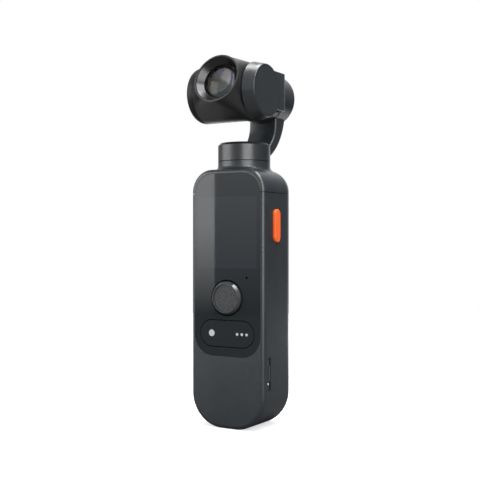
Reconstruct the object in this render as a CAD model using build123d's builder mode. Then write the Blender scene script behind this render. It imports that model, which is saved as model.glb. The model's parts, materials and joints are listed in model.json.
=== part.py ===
from build123d import *
import os
from math import cos, radians, sin

# Pocket camera on a stick grip, with a three-axis gimbal head. Millimetres.
# +X is the user's right of the front, +Y the back, +Z up. The origin is under the foot, on the pan axis.

os.makedirs("parts", exist_ok=True)

# Grip: outer form
GRIP_WIDTH = 30.4
GRIP_DEPTH = 23.8
GRIP_FRONT = -12.0
GRIP_HEIGHT = 92.5
FOOT_CORNER = 12.2
SHOULDER_CORNER = 8.0
REAR_CORNER = 7.5
FRONT_EDGE = 1.5
WALL = 1.6
FRONT_WALL = 2.2
SEAM_HEIGHT = 83.8
SEAM_GAP = 0.2
SHOULDER_LIP = 3.0
LIP_WALL = 1.0
FIT = 0.1
SEAT_FIT = 0.02

# Front glass and what shows through it
GLASS_RIM = 0.1
GLASS_BOTTOM = 25.9
GLASS_TOP = 90.9
GLASS_THICKNESS = 1.0
GLASS_UPPER_CORNER = 7.6
GLASS_LOWER_CORNER = 7.5
GLASS_GAP = 0.08
DISPLAY_WIDTH = 24.2
DISPLAY_BOTTOM = 57.2
DISPLAY_TOP = 82.6
DISPLAY_THICKNESS = 1.5
DISPLAY_CORNER = 0.5
MIC_X = 8.1
MIC_HEIGHT = 53.9
MIC_HOLE = 0.45
MIC_DUCT = 0.9

# Joystick
STICK_HEIGHT = 46.6
STICK_RADIUS = 5.9
STICK_TOP_RADIUS = 5.25
STICK_PROUD = 1.5
STICK_SUNK = 0.8
STICK_HOLE = 6.5
STICK_PIVOT_DEPTH = 3.7
STICK_CHAMFER = 1.0
STICK_BASE_RADIUS = 5.0
STICK_BASE_INNER = 4.2
STICK_BASE_FLOOR = 0.5
STICK_BASE_TOP = 2.4
STICK_RING_OUTER = 3.6
STICK_RING_INNER = 2.6
STICK_RING_THICKNESS = 1.2
STICK_PIN = 0.4
STICK_STEM = 1.5

# Pill-shaped two-way key
KEY_HEIGHT = 33.9
KEY_LENGTH = 22.0
KEY_WIDTH = 9.2
KEY_GAP = 0.3
KEY_THICKNESS = 1.0
KEY_PIN = 0.5
KEY_PIN_DEPTH = 2.3
KEY_SWITCH_X = 8.0
KEY_NUB_RADIUS = 0.8
KEY_NUB_LENGTH = 1.15
KEY_SWITCH_SIZE = 3.0
KEY_PLUNGER = 0.7
KEY_PLUNGER_GAP = 0.4
KEY_PLUNGER_LENGTH = 0.55
KEY_RIB = 2.0
KEY_BRACKET_LENGTH = 4.0
KEY_EAR = 1.0
KEY_EAR_REACH = 0.7
KEY_BRACKET_PLATE = 0.8
PIN_FIT = 0.03
DOT_X = -6.4
DOT_RADIUS = 1.2
SMALL_DOT_X = 6.15
SMALL_DOT_PITCH = 1.95
SMALL_DOT_RADIUS = 0.5
DOT_THICKNESS = 0.2

# Record button on the right side
BUTTON_Y = -3.4
BUTTON_HEIGHT = 72.2
BUTTON_LENGTH = 11.8
BUTTON_WIDTH = 4.0
BUTTON_PROUD = 0.8
BUTTON_GAP = 0.15
BUTTON_FLANGE = 0.8
BUTTON_FLANGE_RIM = 0.8
BUTTON_TRAVEL = 0.5
BUTTON_EDGE = 0.35
BUTTON_SWITCH_WIDTH = 3.9
BUTTON_SWITCH_DEPTH = 1.5
BUTTON_SWITCH_HEIGHT = 4.4
BUTTON_PLUNGER = 0.8
BUTTON_PLUNGER_LENGTH = 0.2

# Memory card in its side slot
CARD_Y = -7.9
CARD_HEIGHT = 20.1
CARD_WIDTH = 11.0
CARD_LENGTH = 15.0
CARD_THICKNESS = 0.8
CARD_SUNK = 0.7
CARD_GAP = 0.2
SLOT_RECESS_WIDTH = 2.2
SLOT_RECESS_DEPTH = 0.5
SLOT_RECESS_LENGTH = 11.9
SLOT_RECESS_Y = -8.4
SLOT_RECESS_CORNER = 0.73
SOCKET_WALL = 0.4
LIGHT_Y = -9.0
LIGHT_HEIGHT = 16.8
LIGHT_RADIUS = 0.35

# Tripod thread in the foot, on the pan axis
THREAD_RADIUS = 2.6
THREAD_DEPTH = 6.5
INSERT_RADIUS = 3.6
INSERT_HEIGHT = 7.5
INSERT_BOSS = 5.0

# Charging port on the left side, opposite the card
PORT_HEIGHT = 20.1
PORT_LENGTH = 9.0
PORT_WIDTH = 3.2
PORT_WALL = 0.3
PORT_DEPTH = 7.0
PORT_SUNK = 0.3
PORT_GAP = 0.15
TONGUE_LENGTH = 6.7
TONGUE_THICKNESS = 0.7

# Inside the grip
BOARD_FACE = -6.6
BOARD_THICKNESS = 0.8
BOARD_BOTTOM = 11.5
BOARD_TOP = 80.0
CHASSIS_THICKNESS = 1.0
CHASSIS_BOTTOM = 12.4
CHASSIS_TOP = 64.0
CHASSIS_WINDOW_CORNER = 3.2
POST_INSET = 1.8
POST_HEIGHTS = (28.2, 60.0)
SHIELD_SIZE = 16.0
SHIELD_HEIGHT = 1.4
SHIELD_CORNER = 0.8
MIC_CAN_WIDTH = 3.2
MIC_CAN_HEIGHT = 2.4
MIC_CAN_DEPTH = 1.1
BATTERY_CORNER = 3.5
TILT_SCREW_HEAD = 0.4
CHASSIS_RAIL = 1.2
CHASSIS_RAIL_DEPTH = 5.0
CHASSIS_POST = 1.6
CHASSIS_POST_HEIGHT = 0.3
BATTERY_DEPTH = 13.0
BATTERY_HEIGHT = 66.0
BATTERY_BOTTOM = 12.0
SCREW_SHANK = 0.6
SCREW_HEAD = 1.1
SCREW_HEAD_HEIGHT = 0.6

# Neck, collar and yaw arm
NECK_RADIUS = 9.54
NECK_FLARE = 1.9
NECK_TOP = 95.6
RUNNING_GAP = 0.25
COLLAR_TOP = 102.4
COLLAR_CHAMFER = 0.9
ARM_WIDTH = 11.8
ARM_EDGE = 1.0
ARM_ROOT_INNER = (7.6, 101.4)
ARM_ROOT_OUTER = (8.6, 97.6)
ARM_INNER_MIDDLE = (11.3, 104.6)
ARM_INNER_TOP = (13.6, 112.0)
ARM_OUTER_MIDDLE = (17.2, 104.9)
ARM_OUTER_TOP = (21.2, 115.0)

# Roll axis and roll motor housing
ROLL_HEIGHT = 120.8
HOUSING_RADIUS = 9.7
HOUSING_FRONT = 13.6
HOUSING_REAR = 21.2
HOUSING_WEB = 1.6
HOUSING_CAP_RADIUS = 8.5
HOUSING_CAP_THICKNESS = 1.2
HOUSING_CAP_SEAT = 0.5

# Roll bracket and tilt motor housing
TILT_Y = -7.0
TILT_HEIGHT = 119.85
BRACKET_SIDE = 13.7
TILT_HOUSING_INNER = 9.3
TILT_HOUSING_RADIUS = 10.4
TILT_HOUSING_TAPER = 14.0
TILT_CAVITY_RADIUS = 8.65
TILT_CAVITY_END = 12.2
TILT_CAP_RADIUS = 8.65
TILT_CAP_THICKNESS = 0.9
TILT_CAP_GAP = 0.05
TILT_EDGE = 0.35
BRACKET_WALL = 2.0
BRACKET_HALF_HEIGHT = 6.85
BRACKET_REAR = 7.3
BRACKET_REAR_WALL = 2.0
BRACKET_CORNER = 1.9

# Camera head
HEAD_PITCH = 17.0
HEAD_RADIUS = 10.2
HEAD_LEFT = -15.0
HEAD_SEAM = -11.35
HEAD_SEAM_GAP = 0.12
HEAD_WALL = 1.2
HEAD_END_WALL = 1.6
HEAD_CAP_EDGE = 2.8
HEAD_CAP_LIP = 1.5
BARREL_RADIUS = 8.9
BARREL_REACH = 12.7
BARREL_LIP = 0.45
BARREL_FLARE = ((9.4, 11.4), (0.0, 15.6))
BARREL_BORE = 6.8
TRIM_SEAT = 8.4
TRIM_DEPTH = 3.2
TRIM_SUNK = 0.25
TRIM_RIM = 8.2
TRIM_THROAT = 6.3
TRIM_LIP = 0.9
LENS_RADIUS = 5.9
LENS_DOME = 11.0
LENS_EDGE = 1.0
LENS_SUNK = 3.3
RETAINER_HEIGHT = 1.4
HOLDER_INNER = 5.3
HOLDER_REAR = -3.4
SENSOR_WIDTH = 8.0
SENSOR_HEIGHT = 6.0
SENSOR_THICKNESS = 0.8
SENSOR_BOARD = 12.0
SENSOR_BOARD_THICKNESS = 0.8
IMU_THICKNESS = 0.8
INNER_LENSES = ((0.2, 1.4), (3.2, 1.2), (6.0, 1.6))

# Brushless motors: a seat plane faces the rotor, and heights are measured from it
SHAFT_RADIUS = 1.5
SHAFT_FIT = 0.03
BEARING_RADIUS = 2.3
BEARING_LENGTH = 1.1
TUBE_WALL = 0.7
CORE_RADIUS = 6.3
MAGNET_INNER = 6.65
BELL_RADIUS = 7.9
BASE_RADIUS = 7.85
TEETH = 9
TOOTH_GAP = 1.1
CORE_HUB_RADIUS = 4.2
TOOTH_TIP = 0.8
TOOTH_CUT = 3.2
MOTOR_SCREWS = 3
MOTOR_SCREW_RADIUS = 5.6
MOTOR_SCREW_BITE = 1.2

PAN_MOTOR = {"base": 1.2, "core": (3.2, 6.1), "magnet": (3.3, 6.4)}
PAN_MOTOR.update({"tube": 7.0, "bell": 7.6, "shaft": 8.8})
TILT_MOTOR = {"base": 0.6, "core": (0.8, 2.1), "magnet": (0.75, 2.25)}
TILT_MOTOR.update({"tube": 2.4, "bell": 2.55, "shaft": 4.5})
MOTOR_MOUTH = 2.8

# Worked-out places
STICK_PIVOT = GRIP_FRONT + STICK_PIVOT_DEPTH
STICK_PIN_REACH = (STICK_BASE_RADIUS + STICK_BASE_INNER) / 2
KEY_PIVOT = GRIP_FRONT + KEY_PIN_DEPTH
KEY_PLUNGER_TIP = GRIP_FRONT + KEY_THICKNESS + KEY_NUB_LENGTH + KEY_PLUNGER_GAP
SMALL_DOTS = [(SMALL_DOT_X + step * SMALL_DOT_PITCH, KEY_HEIGHT) for step in (-1, 0, 1)]
PORT_Y = BOARD_FACE - PORT_WIDTH / 2
CARD_INNER_END = GRIP_WIDTH / 2 - CARD_SUNK - CARD_LENGTH
SOCKET_FRONT = CARD_Y - CARD_THICKNESS / 2 - CARD_GAP / 2 - SOCKET_WALL
SOCKET_LENGTH = CARD_LENGTH - CARD_SUNK
SIDE = GRIP_WIDTH / 2
GLASS_WIDTH = GRIP_WIDTH - 2 * (FRONT_EDGE + GLASS_RIM)
BOARD_WIDTH = GRIP_WIDTH - 2 * (WALL + FIT + BUTTON_FLANGE + BUTTON_TRAVEL + BUTTON_PLUNGER_LENGTH)
BATTERY_WIDTH = BOARD_WIDTH - 2 * (BUTTON_SWITCH_DEPTH + FIT)
POST_X = BOARD_WIDTH / 2 - POST_INSET
GLASS_BACK = GRIP_FRONT + GLASS_THICKNESS
CAVITY_FRONT = GRIP_FRONT + FRONT_WALL
CHASSIS_POSTS = [(side * POST_X, height) for side in (-1, 1) for height in POST_HEIGHTS]
RAIL_X = BATTERY_WIDTH / 2 + FIT + CHASSIS_RAIL / 2
CHASSIS_MIDDLE = (CHASSIS_BOTTOM + CHASSIS_TOP) / 2
WALL_DROP = ROLL_HEIGHT - TILT_HEIGHT
BOARD_BACK = BOARD_FACE + BOARD_THICKNESS
CHASSIS_FACE = BOARD_BACK + CHASSIS_POST_HEIGHT
CHASSIS_BACK = CHASSIS_FACE + CHASSIS_THICKNESS
COLLAR_BOTTOM = NECK_TOP + RUNNING_GAP
PAN_SEAT = NECK_TOP - MOTOR_MOUTH
ROLL_SEAT = HOUSING_FRONT + MOTOR_MOUTH
HEAD_RIGHT = TILT_HOUSING_INNER - RUNNING_GAP
TILT_ROTOR_RADIUS = TILT_CAVITY_RADIUS - RUNNING_GAP
BARREL_FRONT = BARREL_REACH - BARREL_LIP
HEAD_WIDTH = HEAD_RIGHT - HEAD_SEAM
FLARE_RADIUS = BARREL_FLARE[-1][1]
LENS_TOP = BARREL_REACH - LENS_SUNK
LENS_BACK = LENS_TOP - LENS_EDGE

PAN_PLANE = Plane((0, 0, PAN_SEAT), x_dir=(1, 0, 0), z_dir=(0, 0, 1))
ROLL_PLANE = Plane((0, ROLL_SEAT, ROLL_HEIGHT), x_dir=(1, 0, 0), z_dir=(0, -1, 0))
TILT_PLANE = Plane((TILT_CAVITY_END, TILT_Y, TILT_HEIGHT), x_dir=(0, 0, 1), z_dir=(-1, 0, 0))
LENS_DIRECTION = (0, -cos(radians(HEAD_PITCH)), sin(radians(HEAD_PITCH)))
LENS_UP = (0, sin(radians(HEAD_PITCH)), cos(radians(HEAD_PITCH)))
LENS_PLANE = Plane((0, TILT_Y, TILT_HEIGHT), x_dir=(1, 0, 0), z_dir=LENS_DIRECTION)
LENS_MOUTH = LENS_PLANE.offset(BARREL_FRONT)


def front_plane(depth):
    """A plane parallel to the front face, with local x to the right and local y up."""
    return Plane.XZ.offset(-depth)


def side_plane(x):
    """A plane facing right at x, with local x along +Y and local y up, on the tilt axis."""
    return Plane((x, TILT_Y, TILT_HEIGHT), x_dir=(0, 1, 0), z_dir=(1, 0, 0))


def reach_plane(x):
    """A plane across the tilt axis at x, with local x along the lens axis and local y upwards."""
    return Plane((x, TILT_Y, TILT_HEIGHT), x_dir=LENS_DIRECTION, z_dir=(-1, 0, 0))


def roll_plane(y):
    """A plane facing the back at y, centred on the roll axis."""
    return Plane((0, y, ROLL_HEIGHT), x_dir=(-1, 0, 0), z_dir=(0, 1, 0))


def grip_form(inset, front_inset):
    """The grip's rounded form, drawn in by a wall thickness all round."""
    with BuildPart() as form:
        with BuildSketch(front_plane(GRIP_FRONT + front_inset)) as outline:
            with Locations((0, GRIP_HEIGHT / 2)):
                Rectangle(GRIP_WIDTH - 2 * inset, GRIP_HEIGHT - 2 * inset)
            fillet(outline.vertices().group_by(Axis.Y)[0], FOOT_CORNER - inset)
            fillet(outline.vertices().group_by(Axis.Y)[-1], SHOULDER_CORNER - inset)
        extrude(amount=front_inset + inset - GRIP_DEPTH)
        fillet(form.faces().sort_by(Axis.Y)[-1].edges(), REAR_CORNER - inset)
        if front_inset == 0:
            fillet(form.faces().sort_by(Axis.Y)[0].edges(), FRONT_EDGE)
    return form.part


def glass_outline(gap):
    """The front glass's outline, grown by a gap, as a plate from the front face inwards."""
    height = GLASS_TOP - GLASS_BOTTOM + 2 * gap
    with BuildPart() as plate:
        with BuildSketch(front_plane(GRIP_FRONT)) as outline:
            with Locations((0, (GLASS_TOP + GLASS_BOTTOM) / 2)):
                Rectangle(GLASS_WIDTH + 2 * gap, height)
            fillet(outline.vertices().group_by(Axis.Y)[0], GLASS_LOWER_CORNER + gap)
            fillet(outline.vertices().group_by(Axis.Y)[-1], GLASS_UPPER_CORNER + gap)
        extrude(amount=-GLASS_THICKNESS - gap)
    return plate.part


def level_slice(form, bottom, top):
    """The part of a form between two heights, behind the display."""
    with BuildPart() as cut:
        add(form)
        split(bisect_by=Plane.XY.offset(bottom), keep=Keep.TOP)
        split(bisect_by=Plane.XY.offset(top), keep=Keep.BOTTOM)
        split(bisect_by=Plane.XZ.offset(-BOARD_FACE), keep=Keep.BOTTOM)
    return cut.part


def shoulder_lip():
    """A lip inside the shoulder cap that locates it in the grip shell."""
    seat = SEAM_HEIGHT + SEAM_GAP
    with BuildPart() as lip:
        add(level_slice(grip_form(WALL / 2, FRONT_WALL), seat, seat + LIP_WALL))
        add(level_slice(grip_form(WALL + FIT, FRONT_WALL), SEAM_HEIGHT - SHOULDER_LIP, seat))
        add(grip_form(WALL + FIT + LIP_WALL, FRONT_WALL), mode=Mode.SUBTRACT)
    return lip.part


OUTER_FORM = grip_form(0, 0)
CAVITY = grip_form(WALL, FRONT_WALL)
GLASS_RECESS = glass_outline(GLASS_GAP)

# Grip shell: the long lower casing
with BuildPart() as grip_shell:
    add(OUTER_FORM)
    add(CAVITY, mode=Mode.SUBTRACT)
    split(bisect_by=Plane.XY.offset(SEAM_HEIGHT), keep=Keep.BOTTOM)
    with BuildSketch(Plane.XY.offset(WALL / 2)):
        Circle(INSERT_BOSS)
    extrude(amount=INSERT_HEIGHT - WALL / 2)
    add(GLASS_RECESS, mode=Mode.SUBTRACT)
    with BuildSketch(front_plane(GLASS_BACK)):
        with Locations((0, STICK_HEIGHT)):
            Circle(STICK_HOLE + FIT)
        with Locations((0, KEY_HEIGHT)):
            SlotOverall(KEY_LENGTH + 2 * KEY_GAP, KEY_WIDTH + 2 * KEY_GAP)
        with Locations((MIC_X, MIC_HEIGHT)):
            Circle(MIC_DUCT)
        with Locations((0, (DISPLAY_BOTTOM + SEAM_HEIGHT) / 2)):
            Rectangle(DISPLAY_WIDTH + 2 * FIT, SEAM_HEIGHT - DISPLAY_BOTTOM + 2 * FIT)
    extrude(amount=-FRONT_WALL, mode=Mode.SUBTRACT)
    with BuildSketch(Plane.YZ.offset(SIDE)):
        with Locations((BUTTON_Y, BUTTON_HEIGHT)):
            SlotOverall(BUTTON_LENGTH + 2 * BUTTON_GAP, BUTTON_WIDTH + 2 * BUTTON_GAP, rotation=90)
        with Locations((CARD_Y, CARD_HEIGHT)):
            Rectangle(CARD_THICKNESS + 2 * CARD_GAP, CARD_WIDTH + 2 * CARD_GAP)
    extrude(amount=-2 * WALL, mode=Mode.SUBTRACT)
    with BuildSketch(Plane.YZ.offset(SIDE)):
        with Locations((SLOT_RECESS_Y, CARD_HEIGHT)):
            RectangleRounded(SLOT_RECESS_WIDTH, SLOT_RECESS_LENGTH, SLOT_RECESS_CORNER)
    extrude(amount=-SLOT_RECESS_DEPTH, mode=Mode.SUBTRACT)
    with BuildSketch(Plane.YZ.offset(SIDE)):
        with Locations((LIGHT_Y, LIGHT_HEIGHT)):
            Circle(LIGHT_RADIUS + SEAT_FIT)
    extrude(amount=-2 * WALL, mode=Mode.SUBTRACT)
    with BuildSketch(Plane.YZ.offset(-SIDE)):
        with Locations((PORT_Y, PORT_HEIGHT)):
            SlotOverall(PORT_LENGTH + 2 * PORT_GAP, PORT_WIDTH + 2 * PORT_GAP, rotation=90)
    extrude(amount=2 * WALL, mode=Mode.SUBTRACT)
    with BuildSketch(Plane.XY):
        Circle(INSERT_RADIUS + SEAT_FIT)
    extrude(amount=INSERT_HEIGHT, mode=Mode.SUBTRACT)
grip_shell.part.label = "grip_shell"
export_step(grip_shell.part, "parts/grip_shell.step")

# Shoulder cap: closes the grip and carries the neck
with BuildPart() as shoulder_cap:
    add(OUTER_FORM)
    with BuildSketch(Plane.XY.offset(SEAM_HEIGHT)):
        Circle(NECK_RADIUS)
    extrude(amount=NECK_TOP - SEAM_HEIGHT)
    neck_side = shoulder_cap.faces().filter_by(GeomType.CYLINDER).sort_by(Axis.Z)[-1]
    fillet(neck_side.edges().sort_by(Axis.Z)[:-1].filter_by(GeomType.LINE, reverse=True), NECK_FLARE)
    split(bisect_by=Plane.XY.offset(SEAM_HEIGHT + SEAM_GAP), keep=Keep.TOP)
    add(CAVITY, mode=Mode.SUBTRACT)
    add(shoulder_lip())
    add(GLASS_RECESS, mode=Mode.SUBTRACT)
    with BuildSketch(Plane.XY.offset(PAN_SEAT)):
        Circle(BASE_RADIUS + SEAT_FIT)
    extrude(amount=NECK_TOP - PAN_SEAT, mode=Mode.SUBTRACT)
    with BuildSketch(Plane.XY.offset(PAN_SEAT)):
        Circle(CORE_HUB_RADIUS)
        with PolarLocations(MOTOR_SCREW_RADIUS, MOTOR_SCREWS):
            Circle(SCREW_SHANK + SEAT_FIT)
    extrude(amount=SEAM_HEIGHT - PAN_SEAT, mode=Mode.SUBTRACT)
shoulder_cap.part.label = "shoulder_cap"
export_step(shoulder_cap.part, "parts/shoulder_cap.step")

# Front glass: one sheet over the display, the stick and the key
with BuildPart() as front_glass:
    add(glass_outline(0))
    with BuildSketch(front_plane(GRIP_FRONT)):
        with Locations((0, STICK_HEIGHT)):
            Circle(STICK_HOLE)
        with Locations((0, KEY_HEIGHT)):
            SlotOverall(KEY_LENGTH + 2 * KEY_GAP, KEY_WIDTH + 2 * KEY_GAP)
        with Locations((MIC_X, MIC_HEIGHT)):
            Circle(MIC_HOLE)
    extrude(amount=-GLASS_THICKNESS, mode=Mode.SUBTRACT)
front_glass.part.label = "front_glass"
export_step(front_glass.part, "parts/front_glass.step")

# Display panel behind the glass
with BuildPart() as display_panel:
    with BuildSketch(front_plane(GLASS_BACK)):
        with Locations((0, (DISPLAY_BOTTOM + DISPLAY_TOP) / 2)):
            RectangleRounded(DISPLAY_WIDTH, DISPLAY_TOP - DISPLAY_BOTTOM, DISPLAY_CORNER)
    extrude(amount=-DISPLAY_THICKNESS)
display_panel.part.label = "display_panel"
export_step(display_panel.part, "parts/display_panel.step")

# Chassis plate with rails for the battery, seated between the shell's side walls
with BuildPart() as chassis:
    with BuildSketch(front_plane(CHASSIS_FACE)):
        with Locations((0, CHASSIS_MIDDLE)):
            Rectangle(GRIP_WIDTH - 2 * (WALL + SEAT_FIT), CHASSIS_TOP - CHASSIS_BOTTOM)
            RectangleRounded(
                BATTERY_WIDTH / 2,
                (CHASSIS_TOP - CHASSIS_BOTTOM) / 2,
                CHASSIS_WINDOW_CORNER,
                mode=Mode.SUBTRACT,
            )
    extrude(amount=-CHASSIS_THICKNESS)
    with BuildSketch(front_plane(CHASSIS_BACK)):
        for side in (-1, 1):
            with Locations((side * RAIL_X, (BATTERY_BOTTOM + CHASSIS_TOP) / 2)):
                Rectangle(CHASSIS_RAIL, CHASSIS_TOP - BATTERY_BOTTOM)
    extrude(amount=-CHASSIS_RAIL_DEPTH)
    with BuildSketch(front_plane(CHASSIS_FACE)):
        with Locations(*CHASSIS_POSTS):
            Circle(CHASSIS_POST)
    extrude(amount=CHASSIS_POST_HEIGHT)
    with BuildSketch(front_plane(BOARD_BACK)):
        with Locations(*CHASSIS_POSTS):
            Circle(SCREW_SHANK + SEAT_FIT)
    extrude(amount=-CHASSIS_POST_HEIGHT - CHASSIS_THICKNESS, mode=Mode.SUBTRACT)
chassis.part.label = "chassis"
export_step(chassis.part, "parts/chassis.step")

# Battery behind the chassis
with BuildPart() as battery:
    with BuildSketch(front_plane(CHASSIS_BACK)):
        with Locations((0, BATTERY_BOTTOM + BATTERY_HEIGHT / 2)):
            Rectangle(BATTERY_WIDTH, BATTERY_HEIGHT)
    extrude(amount=-BATTERY_DEPTH)
    fillet(battery.edges().filter_by(Axis.Z).group_by(Axis.Y)[-1], BATTERY_CORNER)
battery.part.label = "battery"
export_step(battery.part, "parts/battery.step")

# Main circuit board in front of the chassis
with BuildPart() as main_board:
    with BuildSketch(front_plane(BOARD_FACE)):
        with Locations((0, (BOARD_BOTTOM + BOARD_TOP) / 2)):
            RectangleRounded(BOARD_WIDTH, BOARD_TOP - BOARD_BOTTOM, CHASSIS_POST)
        with Locations(*CHASSIS_POSTS):
            Circle(SCREW_SHANK + SEAT_FIT, mode=Mode.SUBTRACT)
    extrude(amount=-BOARD_THICKNESS)
main_board.part.label = "main_board"
export_step(main_board.part, "parts/main_board.step")

# Shield over the processor, behind the display
with BuildPart() as processor_shield:
    with BuildSketch(front_plane(BOARD_FACE)):
        with Locations((0, (DISPLAY_BOTTOM + DISPLAY_TOP) / 2)):
            RectangleRounded(SHIELD_SIZE, SHIELD_SIZE, SHIELD_CORNER)
    extrude(amount=SHIELD_HEIGHT)
processor_shield.part.label = "processor_shield"
export_step(processor_shield.part, "parts/processor_shield.step")

# Screws that hold the board to the chassis
with BuildPart() as board_screws:
    with BuildSketch(front_plane(BOARD_FACE)):
        with Locations(*CHASSIS_POSTS):
            Circle(SCREW_HEAD)
    extrude(amount=SCREW_HEAD_HEIGHT)
    with BuildSketch(front_plane(BOARD_FACE)):
        with Locations(*CHASSIS_POSTS):
            Circle(SCREW_SHANK)
    extrude(amount=-BOARD_THICKNESS - CHASSIS_POST_HEIGHT - CHASSIS_THICKNESS)
board_screws.part.label = "board_screws"
export_step(board_screws.part, "parts/board_screws.step")

# Joystick base: a cup on the board with bearings for the rocking ring
with BuildPart() as stick_base:
    with BuildSketch(front_plane(BOARD_FACE)):
        with Locations((0, STICK_HEIGHT)):
            Circle(STICK_BASE_RADIUS)
    extrude(amount=STICK_BASE_TOP + STICK_BASE_FLOOR)
    with BuildSketch(front_plane(BOARD_FACE - STICK_BASE_FLOOR)):
        with Locations((0, STICK_HEIGHT)):
            Circle(STICK_BASE_INNER)
    extrude(amount=STICK_BASE_TOP, mode=Mode.SUBTRACT)
    with BuildSketch(Plane.YZ.offset(-STICK_BASE_RADIUS)):
        with Locations((STICK_PIVOT, STICK_HEIGHT)):
            Circle(STICK_PIN + PIN_FIT)
    extrude(amount=2 * STICK_BASE_RADIUS, mode=Mode.SUBTRACT)
stick_base.part.label = "stick_base"
export_step(stick_base.part, "parts/stick_base.step")

# Joystick ring: rocks up and down in the base, and carries the stick's own pins
with BuildPart() as stick_ring:
    with BuildSketch(front_plane(STICK_PIVOT - STICK_RING_THICKNESS / 2)):
        with Locations((0, STICK_HEIGHT)):
            Circle(STICK_RING_OUTER)
    extrude(amount=-STICK_RING_THICKNESS)
    with BuildSketch(Plane.YZ.offset(-STICK_PIN_REACH)):
        with Locations((STICK_PIVOT, STICK_HEIGHT)):
            Circle(STICK_PIN)
    extrude(amount=2 * STICK_PIN_REACH)
    with BuildSketch(front_plane(STICK_PIVOT - STICK_RING_THICKNESS)):
        with Locations((0, STICK_HEIGHT)):
            Circle(STICK_RING_INNER)
    extrude(amount=-2 * STICK_RING_THICKNESS, mode=Mode.SUBTRACT)
    with BuildSketch(Plane.XY.offset(STICK_HEIGHT - STICK_RING_OUTER)):
        with Locations((0, STICK_PIVOT)):
            Circle(STICK_PIN + PIN_FIT)
    extrude(amount=2 * STICK_RING_OUTER, mode=Mode.SUBTRACT)
stick_ring.part.label = "stick_ring"
export_step(stick_ring.part, "parts/stick_ring.step")

# Joystick cap: the chamfered disc under the thumb, on its stem
with BuildPart() as stick_cap:
    with BuildSketch(front_plane(GRIP_FRONT + STICK_SUNK)):
        with Locations((0, STICK_HEIGHT)):
            Circle(STICK_RADIUS)
    extrude(amount=STICK_SUNK + STICK_PROUD)
    chamfer(
        stick_cap.faces().sort_by(Axis.Y)[0].edges(),
        STICK_CHAMFER,
        STICK_RADIUS - STICK_TOP_RADIUS,
        reference=stick_cap.faces().filter_by(GeomType.CYLINDER)[0],
    )
    with BuildSketch(front_plane(GRIP_FRONT + STICK_SUNK)):
        with Locations((0, STICK_HEIGHT)):
            Circle(STICK_STEM)
    extrude(amount=STICK_SUNK - STICK_PIVOT_DEPTH - STICK_PIN)
    with BuildSketch(Plane.XY.offset(STICK_HEIGHT - STICK_RING_OUTER + FIT)):
        with Locations((0, STICK_PIVOT)):
            Circle(STICK_PIN)
    extrude(amount=2 * (STICK_RING_OUTER - FIT))
stick_cap.part.label = "stick_cap"
export_step(stick_cap.part, "parts/stick_cap.step")

# Bracket with two ears that hold the key's pin
with BuildPart() as key_bracket:
    with BuildSketch(front_plane(BOARD_FACE)):
        with Locations((0, KEY_HEIGHT)):
            Rectangle(KEY_BRACKET_LENGTH, KEY_WIDTH + 2 * KEY_EAR)
    extrude(amount=KEY_BRACKET_PLATE)
    with BuildSketch(front_plane(BOARD_FACE)):
        for end in (-1, 1):
            with Locations((0, KEY_HEIGHT + end * (KEY_WIDTH - KEY_EAR) / 2)):
                Rectangle(KEY_BRACKET_LENGTH, KEY_EAR)
    extrude(amount=BOARD_FACE - KEY_PIVOT + KEY_EAR_REACH)
    with BuildSketch(Plane.XY.offset(KEY_HEIGHT - KEY_WIDTH)):
        with Locations((0, KEY_PIVOT)):
            Circle(KEY_PIN + PIN_FIT)
    extrude(amount=2 * KEY_WIDTH, mode=Mode.SUBTRACT)
key_bracket.part.label = "key_bracket"
export_step(key_bracket.part, "parts/key_bracket.step")

# Pill-shaped key with its pin and the two nubs that press the switches
with BuildPart() as function_key:
    with BuildSketch(front_plane(GRIP_FRONT)):
        with Locations((0, KEY_HEIGHT)):
            SlotOverall(KEY_LENGTH, KEY_WIDTH)
    extrude(amount=-KEY_THICKNESS)
    with BuildSketch(front_plane(GRIP_FRONT + KEY_THICKNESS)):
        with Locations((0, KEY_HEIGHT)):
            Rectangle(KEY_RIB, KEY_WIDTH - 2 * KEY_EAR - 2 * FIT)
    extrude(amount=KEY_THICKNESS - KEY_PIN_DEPTH - KEY_PIN)
    with BuildSketch(front_plane(GRIP_FRONT + KEY_THICKNESS)):
        for side in (-1, 1):
            with Locations((side * KEY_SWITCH_X, KEY_HEIGHT)):
                Circle(KEY_NUB_RADIUS)
    extrude(amount=-KEY_NUB_LENGTH)
    with BuildSketch(Plane.XY.offset(KEY_HEIGHT - KEY_WIDTH / 2)):
        with Locations((0, KEY_PIVOT)):
            Circle(KEY_PIN)
    extrude(amount=KEY_WIDTH)
    with BuildSketch(front_plane(GRIP_FRONT)):
        with Locations((DOT_X, KEY_HEIGHT)):
            Circle(DOT_RADIUS)
        with Locations(*SMALL_DOTS):
            Circle(SMALL_DOT_RADIUS)
    extrude(amount=-DOT_THICKNESS, mode=Mode.SUBTRACT)
function_key.part.label = "function_key"
export_step(function_key.part, "parts/function_key.step")

# Inlaid dots of the key
with BuildPart() as key_dots:
    with BuildSketch(front_plane(GRIP_FRONT)):
        with Locations((DOT_X, KEY_HEIGHT)):
            Circle(DOT_RADIUS)
        with Locations(*SMALL_DOTS):
            Circle(SMALL_DOT_RADIUS)
    extrude(amount=-DOT_THICKNESS)
key_dots.part.label = "key_dots"
export_step(key_dots.part, "parts/key_dots.step")

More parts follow.
